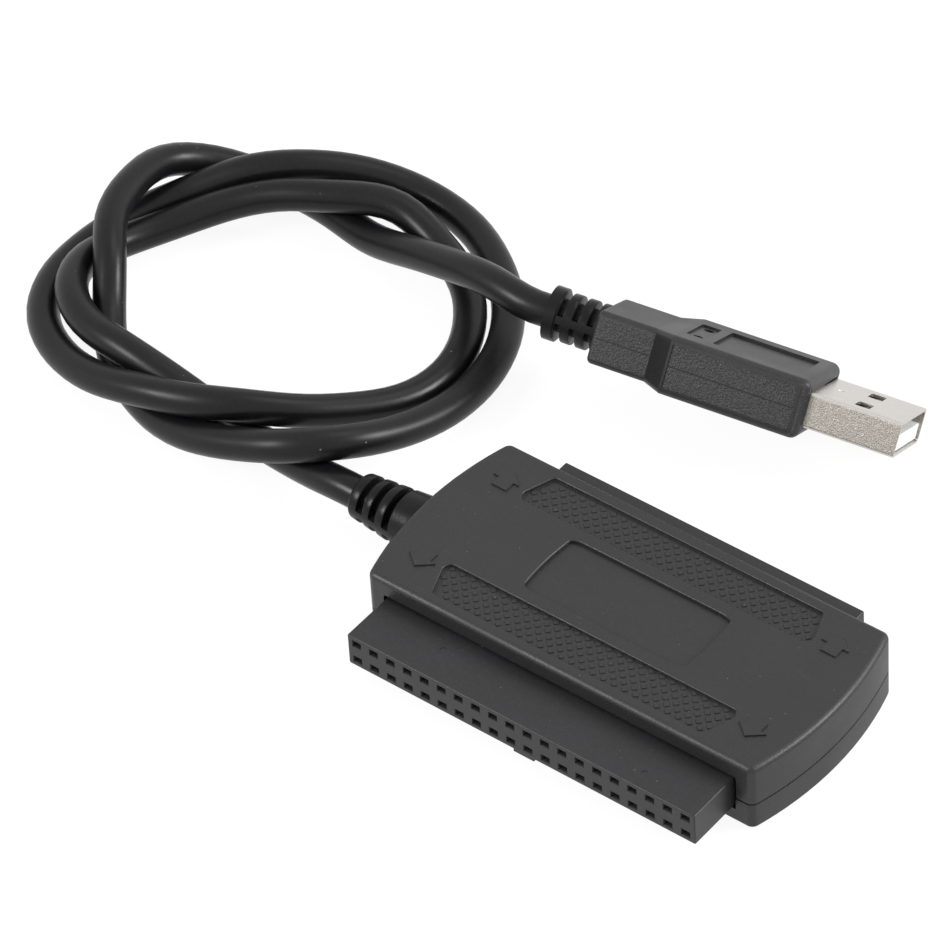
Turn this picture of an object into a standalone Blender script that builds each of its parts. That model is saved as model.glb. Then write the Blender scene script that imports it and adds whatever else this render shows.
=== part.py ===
"""USB to hard-drive adapter with a captive lead, modelled with one object for each real piece.

Lengths below are millimetres; make_object turns them into metres.
Frame: origin at the middle of the housing's underside, +X away from the lead, +Y from the
40-way socket towards the 44-way socket, +Z up.
"""

import math

import bmesh
import bpy
import numpy as np
from mathutils import Euler, Matrix, Vector

MM = 0.001

# Clearances
FIT_GAP = 0.3
SEAM_GAP = 0.3

# Housing
HOUSING_HALF_LENGTH = 28.17
HOUSING_HALF_WIDTH = 13.78
HOUSING_HEIGHT = 9.86
END_BULGE = 2.1
PARTING_HEIGHT = 3.95
WALL = 1.4
FLOOR = 1.2
CORNER_RADIUS = 0.8
TOP_EDGE_ROUND = 0.7
BOTTOM_EDGE_ROUND = 0.5
ARC_STEPS = 6
MERGE_DISTANCE = 0.0001

# Shallow recesses in the top face
RECESS_DEPTH = 0.35
PANEL_HALF_LENGTH = 21.3
PANEL_INNER_Y = 6.95
PANEL_OUTER_Y = 12.15
PANEL_CHAMFER_LENGTH = 0.5
PANEL_CHAMFER_WIDTH = 0.95
PANEL_END_SLANT = 1.6
PANEL_CORNER = 0.3
LABEL_HALF_LENGTH = 11.5
LABEL_HALF_WIDTH = 4.9
LABEL_BULGE = 0.85
LABEL_CORNER = 1.3

# Circuit board and the posts that hold it
BOARD_MIDDLE_HEIGHT = 4.76
BOARD_THICKNESS = 1.2
BOARD_END_SPACE = 2.0
POST_RADIUS = 1.3
POST_X = 20.5
POST_Y = 6.5

# 40-way socket, near side
SOCKET40_COLUMNS = 20
SOCKET40_PITCH = 2.54
SOCKET40_END_MARGIN = 1.37
SOCKET40_HEIGHT = 4.7
SOCKET40_MIDDLE_HEIGHT = 4.76
SOCKET40_STAND_OUT = 7.46
SOCKET40_DEPTH = 8.5
SOCKET40_KEY_X = 0.35
SOCKET40_KEY_WIDTH = 3.0
SOCKET40_KEY_DROP = 0.7
SOCKET40_KEY_LENGTH = 6.0

# 44-way socket, far side
SOCKET44_COLUMNS = 22
SOCKET44_PITCH = 2.0
SOCKET44_END_MARGIN = 1.12
SOCKET44_HEIGHT = 4.0
SOCKET44_MIDDLE_HEIGHT = 5.19
SOCKET44_STAND_OUT = 3.27
SOCKET44_DEPTH = 4.3

# Socket holes and tails
HOLE_SIZE = 0.8
HOLE_MOUTH_SIZE = 1.2
HOLE_MOUTH_DEPTH = 0.4
HOLE_BOTTOM = 1.0
TAIL_SIZE = 0.35
TAIL_REACH = 2.2

# Windows in the shells around the sockets
WINDOW_SIDE_SPACE = 0.4
WINDOW_TOP_SPACE = 0.35
WINDOW_CORNER = 0.4

# Strain relief at the housing
CORD_AXIS_HEIGHT = 4.93
RELIEF_ROOT_RADIUS = 3.94
RELIEF_END_RADIUS = 2.95
RELIEF_LENGTH = 9.83
RELIEF_NECK_RADIUS = 2.9
RELIEF_FLANGE_HALF_WIDTH = 4.6
RELIEF_FLANGE_THICKNESS = 1.5
RELIEF_END_ROUND = 0.4
RELIEF_SLOT_OFFSETS = (3.53, 5.73, 7.83)
SLOT_WIDTH = 1.0
SLOT_CORE_RADIUS = 2.15
SPINE_HALF_HEIGHT = 0.5

# Parts on the board, by the X and Y of their middles
BRIDGE_CHIP_PLACE = (2.0, -0.5)
BRIDGE_CHIP_SIZE = 7.0
BRIDGE_CHIP_HEIGHT = 1.2
BRIDGE_CHIP_LEAD_COUNT = 8
BRIDGE_CHIP_PITCH = 0.8
MEMORY_CHIP_PLACE = (-9.5, -3.5)
MEMORY_CHIP_LENGTH = 4.9
MEMORY_CHIP_WIDTH = 3.9
MEMORY_CHIP_HEIGHT = 1.4
MEMORY_CHIP_LEAD_COUNT = 4
MEMORY_CHIP_PITCH = 1.27
REGULATOR_PLACE = (-16.0, 4.0)
REGULATOR_LENGTH = 6.5
REGULATOR_WIDTH = 3.5
REGULATOR_HEIGHT = 1.6
REGULATOR_LEAD_COUNT = 3
REGULATOR_PITCH = 2.3
LEAD_REACH = 1.0
LEAD_THICKNESS = 0.2
CRYSTAL_PLACE = (12.5, 3.2)
CRYSTAL_LENGTH = 5.0
CRYSTAL_WIDTH = 3.2
CRYSTAL_HEIGHT = 1.2
CRYSTAL_CORNER = 0.5
CAPACITOR_PLACES = ((-8.5, 4.0), (-4.0, 6.2), (12.0, -3.5), (16.5, -3.5))
CAPACITOR_LENGTH = 2.0
CAPACITOR_WIDTH = 1.25
CAPACITOR_HEIGHT = 1.1

# Wires from the lead to the board
WIRE_NAMES = ("wire_red", "wire_white", "wire_green", "wire_black")
WIRE_PITCH = 1.6
WIRE_DIAMETER = 0.9
WIRE_ON_BOARD = 1.8
WIRE_LIFT = 0.5

# Lead
CORD_DIAMETER = 4.3
CORD_POINT_COUNT = 80
CORD_STRAIGHT_END = 2.0

# USB plug: its frame has +X towards the tip, +Z towards the face with the small recess
PLUG_ORIGIN = (8.15, 46.19, 5.87)
PLUG_TURN_DEG = 14.10
PLUG_NOSE_DOWN_DEG = 5.52
PLUG_ROLL_DEG = -32.85
SHELL_LENGTH = 11.8
SHELL_WIDTH = 12.0
SHELL_HEIGHT = 4.5
SHELL_WALL = 0.35
SHELL_CORNER = 0.5
SHELL_BURIED = 2.5
SHELL_WINDOW_LENGTH = 1.9
SHELL_WINDOW_WIDTH = 2.4
SHELL_WINDOW_X = -5.7
SHELL_WINDOW_Y = 2.9
TONGUE_HEIGHT = 1.75
TONGUE_SET_BACK = 0.6
CONTACT_SPACING = (-3.5, -1.0, 1.0, 3.5)
CONTACT_WIDTH = 1.0
CONTACT_THICKNESS = 0.3
CONTACT_LENGTH = 7.5
CONTACT_SET_BACK = 1.0
CONTACT_GAP = 0.1

# Plug overmould, as distances back from its front face
OVERMOULD_HALF_WIDTH = 7.4
OVERMOULD_HALF_HEIGHT = 3.8
OVERMOULD_CORNER = 1.0
OVERMOULD_FRONT_ROUND = 1.2
FRONT_BLOCK_LENGTH = 18.2
SHOULDER_LENGTH = 2.6
REAR_HALF_WIDTH = 5.4
REAR_HALF_HEIGHT = 3.45
REAR_BLOCK_LENGTH = 7.7
REAR_EDGE_ROUND = 0.6
BOOT_LENGTH = 7.2
BOOT_RADIUS = 3.2
BOOT_RING_RADIUS = 3.45
BOOT_RING_LENGTH = 1.4
BOOT_SLOT_OFFSETS = (1.2, 3.2, 5.2)
PLUG_LABEL_START = 2.3
PLUG_LABEL_LENGTH = 11.6
PLUG_LABEL_HALF_WIDTH = 4.5
PLUG_LABEL_DEPTH = 0.4
PLUG_PIN_RECESS_START = 15.1
PLUG_PIN_RECESS_LENGTH = 2.5
PLUG_PIN_RECESS_HALF_WIDTH = 3.75
PLUG_PIN_RECESS_DEPTH = 0.3
PLUG_SIDE_PANEL_START = 1.4
PLUG_SIDE_PANEL_HALF_HEIGHT = 2.8
PLUG_SIDE_PANEL_DEPTH = 0.15

# Middle line of the lead between its two straight ends, from the housing to the plug
CORD_ROUTE = (
    (-48.0, 0.5, 4.1), (-55.0, 1.5, 3.1), (-62.5, 2.0, 3.3),
    (-71.0, 2.0, 5.2), (-81.0, 2.0, 7.0), (-86.0, 3.0, 6.7),
    (-92.0, 6.5, 6.4), (-95.5, 13.0, 5.2), (-95.0, 20.0, 3.7),
    (-91.5, 27.0, 3.8), (-87.0, 32.5, 5.1), (-82.0, 36.0, 6.4),
    (-76.0, 39.0, 7.0), (-68.5, 42.5, 6.5), (-62.5, 42.0, 4.8),
    (-54.5, 38.5, 3.2), (-49.5, 32.5, 2.4), (-47.5, 27.0, 2.2),
    (-48.0, 18.5, 2.7), (-51.5, 11.5, 4.3), (-55.0, 6.5, 6.0),
    (-60.5, 1.5, 7.8), (-67.0, -1.5, 7.7), (-73.0, -2.5, 6.7),
    (-80.0, -2.5, 4.9), (-88.0, -0.5, 3.3), (-94.5, 3.5, 2.8),
    (-98.5, 10.0, 2.5), (-99.5, 18.0, 2.2), (-98.0, 25.0, 2.6),
    (-93.5, 32.0, 4.3), (-88.5, 37.0, 6.4), (-82.5, 42.0, 6.7),
    (-76.5, 46.5, 5.2), (-69.0, 49.0, 3.4), (-61.0, 48.0, 2.7),
    (-55.0, 45.0, 2.5), (-49.5, 40.5, 2.3), (-45.0, 34.0, 2.2),
    (-42.5, 25.5, 2.6), (-42.0, 19.0, 3.7), (-43.0, 11.0, 5.7),
    (-46.0, 3.0, 8.3), (-50.5, -1.0, 8.4), (-56.5, -2.5, 6.5),
    (-62.5, -3.0, 4.6), (-70.5, -2.0, 2.5), (-76.5, 0.0, 2.2),
    (-83.5, 4.0, 2.7), (-88.5, 9.5, 5.0), (-91.5, 13.5, 7.8),
    (-95.5, 19.0, 8.9), (-97.5, 25.5, 8.6), (-98.0, 32.0, 7.0),
    (-93.5, 38.5, 4.0), (-85.0, 41.0, 2.3), (-77.5, 40.5, 2.4),
    (-70.5, 39.0, 2.9), (-62.5, 37.5, 5.6), (-54.5, 36.0, 8.6),
    (-46.0, 34.5, 10.8),
)

# Colour, roughness and metallic value of each material
MATERIALS = {
    "housing_plastic": ((0.07, 0.07, 0.07), 0.62, 0.0),
    "socket_plastic": ((0.07, 0.07, 0.073), 0.55, 0.0),
    "boot_rubber": ((0.03, 0.03, 0.032), 0.55, 0.0),
    "cord_rubber": ((0.025, 0.025, 0.027), 0.42, 0.0),
    "plug_plastic": ((0.05, 0.05, 0.052), 0.58, 0.0),
    "plated_steel": ((0.72, 0.70, 0.66), 0.30, 1.0),
    "tongue_plastic": ((0.85, 0.85, 0.83), 0.45, 0.0),
    "gold_plate": ((0.83, 0.62, 0.25), 0.30, 1.0),
    "board_laminate": ((0.02, 0.16, 0.07), 0.50, 0.0),
    "chip_plastic": ((0.02, 0.02, 0.022), 0.50, 0.0),
    "crystal_can": ((0.70, 0.70, 0.70), 0.30, 1.0),
    "capacitor_ceramic": ((0.42, 0.30, 0.18), 0.50, 0.0),
    "wire_red": ((0.60, 0.03, 0.03), 0.45, 0.0),
    "wire_white": ((0.80, 0.80, 0.80), 0.45, 0.0),
    "wire_green": ((0.03, 0.40, 0.08), 0.45, 0.0),
    "wire_black": ((0.02, 0.02, 0.02), 0.45, 0.0),
}

# Sizes that follow from the ones above
ROOF_UNDERSIDE = HOUSING_HEIGHT - WALL
BOARD_TOP = BOARD_MIDDLE_HEIGHT + BOARD_THICKNESS / 2
BOARD_BOTTOM = BOARD_MIDDLE_HEIGHT - BOARD_THICKNESS / 2
BOARD_HALF_LENGTH = HOUSING_HALF_LENGTH - WALL - BOARD_END_SPACE
BOARD_HALF_WIDTH = HOUSING_HALF_WIDTH - WALL - FIT_GAP
SOCKET40_HALF_LENGTH = (SOCKET40_COLUMNS - 1) * SOCKET40_PITCH / 2 + SOCKET40_END_MARGIN
SOCKET44_HALF_LENGTH = (SOCKET44_COLUMNS - 1) * SOCKET44_PITCH / 2 + SOCKET44_END_MARGIN
SOCKET40_FRONT_Y = -(HOUSING_HALF_WIDTH + SOCKET40_STAND_OUT)
SOCKET44_FRONT_Y = HOUSING_HALF_WIDTH + SOCKET44_STAND_OUT
RELIEF_ROOT_X = -(HOUSING_HALF_LENGTH + END_BULGE + FIT_GAP)
RELIEF_END_X = RELIEF_ROOT_X - RELIEF_LENGTH
FLANGE_OUTER_X = -(HOUSING_HALF_LENGTH - WALL + FIT_GAP)
FLANGE_INNER_X = FLANGE_OUTER_X + RELIEF_FLANGE_THICKNESS
OVERMOULD_FRONT_X = -SHELL_LENGTH
FRONT_BLOCK_END_X = OVERMOULD_FRONT_X - FRONT_BLOCK_LENGTH
SHOULDER_END_X = FRONT_BLOCK_END_X - SHOULDER_LENGTH
REAR_BLOCK_END_X = SHOULDER_END_X - REAR_BLOCK_LENGTH
BOOT_END_X = REAR_BLOCK_END_X - BOOT_LENGTH
BOOT_ROOT_RADIUS = min(BOOT_RADIUS, REAR_HALF_HEIGHT - REAR_EDGE_ROUND - FIT_GAP)


def clear_scene():
    """Remove every object that the file opened with."""
    for existing in list(bpy.data.objects):
        bpy.data.objects.remove(existing, do_unlink=True)


def material(name):
    """Return the named material, made on its first use."""
    found = bpy.data.materials.get(name)
    if found:
        return found
    colour, roughness, metallic = MATERIALS[name]
    made = bpy.data.materials.new(name)
    made.use_nodes = True
    shader = made.node_tree.nodes["Principled BSDF"]
    shader.inputs["Base Color"].default_value = (*colour, 1.0)
    shader.inputs["Roughness"].default_value = roughness
    shader.inputs["Metallic"].default_value = metallic
    made.diffuse_color = (*colour, 1.0)
    return made


def make_object(name, bm, material_name=None, parent=None, smooth_angle_deg=40.0):
    """Turn a bmesh in millimetres into an object in metres."""
    bmesh.ops.recalc_face_normals(bm, faces=bm.faces)
    bmesh.ops.transform(bm, matrix=Matrix.Scale(MM, 4), verts=bm.verts)
    mesh = bpy.data.meshes.new(name)
    bm.to_mesh(mesh)
    bm.free()
    mesh.shade_smooth()
    mesh.set_sharp_from_angle(angle=math.radians(smooth_angle_deg))
    made = bpy.data.objects.new(name, mesh)
    bpy.context.scene.collection.objects.link(made)
    if material_name:
        mesh.materials.append(material(material_name))
    made.parent = parent
    return made


def fillet(before, corner, after, radius, steps=ARC_STEPS):
    """Points of the arc that rounds a corner between two straight sides."""
    to_before = (Vector(before) - Vector(corner)).normalized()
    to_after = (Vector(after) - Vector(corner)).normalized()
    half_angle = to_before.angle(to_after) / 2
    reach = radius / math.tan(half_angle)
    centre = Vector(corner) + (to_before + to_after).normalized() * radius / math.sin(half_angle)
    start = Vector(corner) + to_before * reach - centre
    end = Vector(corner) + to_after * reach - centre
    sweep = start.angle(end)
    points = []
    for step in range(steps + 1):
        share = step / steps
        arm = (start * math.sin((1 - share) * sweep) + end * math.sin(share * sweep)) / math.sin(sweep)
        points.append(tuple(centre + arm))
    return points


def rounded_polygon(corners, radii):
    """Outline of a polygon whose corners are rounded by their own radii."""
    outline = []
    for index, corner in enumerate(corners):
        after = corners[(index + 1) % len(corners)]
        outline += fillet(corners[index - 1], corner, after, radii[index])
    return outline


def rounded_rectangle(half_width, half_height, radius):
    """Outline of a rectangle with round corners, anticlockwise."""
    radius = min(radius, half_width, half_height)
    outline = []
    for quarter in range(4):
        sign_u = (1, -1, -1, 1)[quarter]
        sign_v = (1, 1, -1, -1)[quarter]
        for step in range(ARC_STEPS + 1):
            angle = math.radians(90) * (quarter + step / ARC_STEPS)
            u = sign_u * (half_width - radius) + radius * math.cos(angle)
            v = sign_v * (half_height - radius) + radius * math.sin(angle)
            outline.append((u, v))
    return outline


def bulged_outline(half_length, half_width, bulge, corner, inset=0.0, end_steps=10):
    """Outline with straight long sides, ends that bow outwards and round corners."""
    length = half_length - inset
    width = half_width - inset
    radius = (width**2 + bulge**2) / (2 * bulge)
    end_angle = math.asin(width / radius)
    corner = max(corner - inset, 0.25)
    lean = (math.sin(end_angle), math.cos(end_angle))
    quarter = fillet(
        (0.0, -width),
        (length, -width),
        (length + lean[0], -width + lean[1]),
        corner,
    )
    free_half = -quarter[-1][1]
    arc = []
    for step in range(1, end_steps):
        y = free_half * (2 * step / end_steps - 1)
        arc.append((length + bulge - radius + math.sqrt(radius**2 - y**2), y))
    mirrored = [(x, -y) for x, y in reversed(quarter)]
    right = quarter + arc + mirrored
    left = [(-x, -y) for x, y in right]
    return right + left


def loft(bm, rings):
    """Add a closed body through rings that have the same number of points."""
    rows = [[bm.verts.new(point) for point in ring] for ring in rings]
    count = len(rows[0])
    for lower, upper in zip(rows, rows[1:]):
        for index in range(count):
            after = (index + 1) % count
            bm.faces.new((lower[index], lower[after], upper[after], upper[index]))
    bm.faces.new(list(reversed(rows[0])))
    bm.faces.new(rows[-1])
    bmesh.ops.remove_doubles(bm, verts=bm.verts, dist=MERGE_DISTANCE)
    return bm


def ring_z(outline, z):
    """Stand an outline of (x, y) points at a height."""
    return [(x, y, z) for x, y in outline]


def ring_x(outline, x, y_centre=0.0, z_centre=0.0):
    """Stand an outline of (y, z) points at a station along X."""
    return [(x, y_centre + y, z_centre + z) for y, z in outline]


def add_box(bm, x_range, y_range, z_range):
    """Add a box between two limits on each axis."""
    size = [high - low for low, high in (x_range, y_range, z_range)]
    middle = [(high + low) / 2 for low, high in (x_range, y_range, z_range)]
    place = Matrix.Translation(middle) @ Matrix.Diagonal((*size, 1.0))
    bmesh.ops.create_cube(bm, size=1.0, matrix=place)
    return bm


def add_post(bm, x, y, bottom, top, radius, sides=24):
    """Add an upright round post."""
    place = Matrix.Translation((x, y, (bottom + top) / 2))
    bmesh.ops.create_cone(
        bm, cap_ends=True, segments=sides, radius1=radius, radius2=radius,
        depth=top - bottom, matrix=place,
    )
    return bm


def combine(target, bm, operation):
    """Join a bmesh in millimetres to an object, or cut it away, and keep the result."""
    tool = make_object(target.name + "_tool", bm, parent=target.parent)
    tool.hide_render = True
    tool.display_type = "WIRE"
    change = target.modifiers.new(operation.lower(), "BOOLEAN")
    change.operation = operation
    change.solver = "EXACT"
    change.object = tool
    bpy.context.view_layer.update()
    graph = bpy.context.evaluated_depsgraph_get()
    finished = bpy.data.meshes.new_from_object(target.evaluated_get(graph))
    target.modifiers.clear()
    target.data = finished
    finished.set_sharp_from_angle(angle=math.radians(40.0))
    bpy.data.objects.remove(tool, do_unlink=True)


def housing_rings(bottom, top, bottom_round, top_round):
    """Rings of the housing's outer shape between two heights."""
    rings = []
    for step in range(ARC_STEPS + 1):
        angle = math.radians(90) * step / ARC_STEPS
        inset = bottom_round * (1 - math.sin(angle))
        height = bottom + bottom_round * (1 - math.cos(angle))
        rings.append(ring_z(housing_outline(inset), height))
    if bottom_round == 0:
        rings = rings[:1]
    for step in range(ARC_STEPS + 1):
        angle = math.radians(90) * step / ARC_STEPS
        inset = top_round * (1 - math.cos(angle))
        height = top - top_round * (1 - math.sin(angle))
        rings.append(ring_z(housing_outline(inset), height))
        if top_round == 0:
            break
    return rings


def housing_outline(inset):
    """Plan of the housing, drawn in by an inset."""
    return bulged_outline(
        HOUSING_HALF_LENGTH, HOUSING_HALF_WIDTH, END_BULGE, CORNER_RADIUS, inset
    )


def window_outline(half_length, bottom, top):
    """Outline, in X and Z, of a window that is open at the parting line."""
    corners = [(-half_length, bottom), (half_length, bottom), (half_length, top), (-half_length, top)]
    return rounded_polygon(corners, [0.05, 0.05, WINDOW_CORNER, WINDOW_CORNER])


def add_window(bm, half_length, top, side):
    """Add the cutter of one socket window through the wall on one side."""
    outline = window_outline(half_length, PARTING_HEIGHT - 1, top)
    inner = side * (HOUSING_HALF_WIDTH - WALL - 0.5)
    outer = side * (HOUSING_HALF_WIDTH + 1)
    loft(bm, [[(x, y, z) for x, z in outline] for y in (inner, outer)])


def relief_opening():
    """Cutter of the round opening that takes the strain relief's neck."""
    bm = bmesh.new()
    circle = rounded_rectangle(*[RELIEF_NECK_RADIUS + FIT_GAP] * 3)
    outer = RELIEF_ROOT_X - 1
    inner = FLANGE_OUTER_X + FIT_GAP
    return loft(bm, [ring_x(circle, x, 0.0, CORD_AXIS_HEIGHT) for x in (outer, inner)])


def make_upper_shell():
    """The housing's upper half: roof, walls, windows, recesses and board posts."""
    bottom = PARTING_HEIGHT + SEAM_GAP / 2
    bm = loft(bmesh.new(), housing_rings(bottom, HOUSING_HEIGHT, 0, TOP_EDGE_ROUND))
    shell = make_object("upper_shell", bm, "housing_plastic")
    cavity = housing_outline(WALL)
    hollow = loft(bmesh.new(), [ring_z(cavity, z) for z in (bottom - 1, ROOF_UNDERSIDE)])
    combine(shell, hollow, "DIFFERENCE")
    posts = bmesh.new()
    for x, y in post_places():
        add_post(posts, x, y, BOARD_TOP + FIT_GAP, ROOF_UNDERSIDE + WALL / 3, POST_RADIUS)
    combine(shell, posts, "UNION")
    windows = bmesh.new()
    near_top = SOCKET40_MIDDLE_HEIGHT + SOCKET40_HEIGHT / 2 + WINDOW_TOP_SPACE
    far_top = SOCKET44_MIDDLE_HEIGHT + SOCKET44_HEIGHT / 2 + WINDOW_TOP_SPACE
    add_window(windows, SOCKET40_HALF_LENGTH + WINDOW_SIDE_SPACE, near_top, -1)
    add_window(windows, SOCKET44_HALF_LENGTH + WINDOW_SIDE_SPACE, far_top, 1)
    combine(shell, windows, "DIFFERENCE")
    combine(shell, relief_opening(), "DIFFERENCE")
    combine(shell, top_recesses(), "DIFFERENCE")
    return shell


def top_recesses():
    """Cutter of the two grip panels and the centre recess."""
    bm = bmesh.new()
    heights = (HOUSING_HEIGHT - RECESS_DEPTH, HOUSING_HEIGHT + 1)
    half_corners = [
        (PANEL_HALF_LENGTH - PANEL_CHAMFER_LENGTH, PANEL_INNER_Y),
        (PANEL_HALF_LENGTH, PANEL_INNER_Y + PANEL_CHAMFER_WIDTH),
        (PANEL_HALF_LENGTH - PANEL_END_SLANT, PANEL_OUTER_Y),
    ]
    whole = half_corners + [(-x, y) for x, y in reversed(half_corners)]
    for side in (-1, 1):
        corners = [(x, side * y) for x, y in whole]
        panel = rounded_polygon(corners, [PANEL_CORNER] * len(corners))
        loft(bm, [ring_z(panel, z) for z in heights])
    label = bulged_outline(LABEL_HALF_LENGTH, LABEL_HALF_WIDTH, LABEL_BULGE, LABEL_CORNER)
    loft(bm, [ring_z(label, z) for z in heights])
    return bm


def post_places():
    """Places of the four posts that hold the board."""
    return [(x, y) for x in (-POST_X, POST_X) for y in (-POST_Y, POST_Y)]


def make_lower_shell():
    """The housing's lower half: floor, walls, socket seats and board posts."""
    top = PARTING_HEIGHT - SEAM_GAP / 2
    bm = loft(bmesh.new(), housing_rings(0.0, top, BOTTOM_EDGE_ROUND, 0))
    shell = make_object("lower_shell", bm, "housing_plastic")
    cavity = housing_outline(WALL)
    combine(shell, loft(bmesh.new(), [ring_z(cavity, z) for z in (FLOOR, top + 1)]), "DIFFERENCE")
    posts = bmesh.new()
    for x, y in post_places():
        add_post(posts, x, y, FLOOR / 2, BOARD_BOTTOM - FIT_GAP, POST_RADIUS)
    combine(shell, posts, "UNION")
    seats = bmesh.new()
    wall_inner = HOUSING_HALF_WIDTH - WALL - 0.5
    wall_outer = HOUSING_HALF_WIDTH + 1
    near_half = SOCKET40_HALF_LENGTH + FIT_GAP
    far_half = SOCKET44_HALF_LENGTH + FIT_GAP
    near_bottom = SOCKET40_MIDDLE_HEIGHT - SOCKET40_HEIGHT / 2 - FIT_GAP
    far_bottom = SOCKET44_MIDDLE_HEIGHT - SOCKET44_HEIGHT / 2 - FIT_GAP
    add_box(seats, (-near_half, near_half), (-wall_outer, -wall_inner), (near_bottom, top + 1))
    add_box(seats, (-far_half, far_half), (wall_inner, wall_outer), (far_bottom, top + 1))
    combine(shell, seats, "DIFFERENCE")
    combine(shell, relief_opening(), "DIFFERENCE")
    return shell


def make_socket(name, columns, pitch, half_length, height, middle_height, front_y, depth):
    """A two-row socket with its holes in front and its tails astride the board."""
    back_y = front_y - math.copysign(depth, front_y)
    bm = add_box(
        bmesh.new(),
        (-half_length, half_length),
        sorted((front_y, back_y)),
        (middle_height - height / 2, middle_height + height / 2),
    )
    socket = make_object(name, bm, "socket_plastic")
    combine(socket, socket_tails(columns, pitch, back_y), "UNION")
    combine(socket, socket_holes(columns, pitch, middle_height, front_y, depth), "DIFFERENCE")
    return socket


def column_places(columns, pitch):
    """X of each column of contacts."""
    return [(index - (columns - 1) / 2) * pitch for index in range(columns)]


def socket_holes(columns, pitch, middle_height, front_y, depth):
    """Cutter of a socket's holes, each with a tapered mouth."""
    inward = -math.copysign(1.0, front_y)
    taper = (HOLE_MOUTH_SIZE - HOLE_SIZE) / HOLE_MOUTH_DEPTH
    stations = (
        (-FIT_GAP, HOLE_MOUTH_SIZE + taper * FIT_GAP),
        (HOLE_MOUTH_DEPTH, HOLE_SIZE),
        (depth - HOLE_BOTTOM, HOLE_SIZE),
    )
    bm = bmesh.new()
    for x in column_places(columns, pitch):
        for row in (-1, 1):
            z = middle_height + row * pitch / 2
            rings = []
            for station, size in stations:
                y = front_y + inward * station
                half = size / 2
                square = ((-half, -half), (half, -half), (half, half), (-half, half))
                rings.append([(x + u, y, z + v) for u, v in square])
            loft(bm, rings)
    return bm


def socket_tails(columns, pitch, back_y):
    """Tails that leave a socket's back, above and below the board's edge."""
    reach = math.copysign(TAIL_REACH, back_y)
    bm = bmesh.new()
    for x in column_places(columns, pitch):
        across = (x - TAIL_SIZE / 2, x + TAIL_SIZE / 2)
        along = sorted((back_y + reach * 0.2, back_y - reach))
        above = BOARD_TOP + FIT_GAP
        below = BOARD_BOTTOM - FIT_GAP
        add_box(bm, across, along, (above, above + TAIL_SIZE))
        add_box(bm, across, along, (below - TAIL_SIZE, below))
    return bm


def make_sockets():
    """Both sockets, and the key under the near one."""
    near = make_socket(
        "socket_40way", SOCKET40_COLUMNS, SOCKET40_PITCH, SOCKET40_HALF_LENGTH,
        SOCKET40_HEIGHT, SOCKET40_MIDDLE_HEIGHT, SOCKET40_FRONT_Y, SOCKET40_DEPTH,
    )
    bottom = SOCKET40_MIDDLE_HEIGHT - SOCKET40_HEIGHT / 2
    key = add_box(
        bmesh.new(),
        (SOCKET40_KEY_X - SOCKET40_KEY_WIDTH / 2, SOCKET40_KEY_X + SOCKET40_KEY_WIDTH / 2),
        (SOCKET40_FRONT_Y + FIT_GAP, SOCKET40_FRONT_Y + SOCKET40_KEY_LENGTH),
        (bottom - SOCKET40_KEY_DROP, bottom + SOCKET40_KEY_DROP / 2),
    )
    combine(near, key, "UNION")
    make_socket(
        "socket_44way", SOCKET44_COLUMNS, SOCKET44_PITCH, SOCKET44_HALF_LENGTH,
        SOCKET44_HEIGHT, SOCKET44_MIDDLE_HEIGHT, SOCKET44_FRONT_Y, SOCKET44_DEPTH,
    )


def make_board():
    """The circuit board between the two sockets."""
    outline = rounded_rectangle(BOARD_HALF_LENGTH, BOARD_HALF_WIDTH, CORNER_RADIUS)
    rings = [ring_z(outline, z) for z in (BOARD_BOTTOM, BOARD_TOP)]
    return make_object("circuit_board", loft(bmesh.new(), rings), "board_laminate")


def chip_body(place, length, width, height):
    """Body of a part that sits on the board at a place."""
    x, y = place
    bottom = BOARD_TOP + FIT_GAP
    return add_box(
        bmesh.new(),
        (x - length / 2, x + length / 2),
        (y - width / 2, y + width / 2),
        (bottom, bottom + height),
    )


def lead_strips(place, count, pitch, half_reach, along_x):
    """Flat leads that cross under a chip body and stand out on both sides."""
    bm = bmesh.new()
    bottom = BOARD_TOP + FIT_GAP
    for offset in column_places(count, pitch):
        narrow = (offset - pitch / 4, offset + pitch / 4)
        wide = (-half_reach, half_reach)
        x_range, y_range = (wide, narrow) if along_x else (narrow, wide)
        add_box(
            bm,
            [place[0] + value for value in x_range],
            [place[1] + value for value in y_range],
            (bottom, bottom + LEAD_THICKNESS),
        )
    return bm


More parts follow.
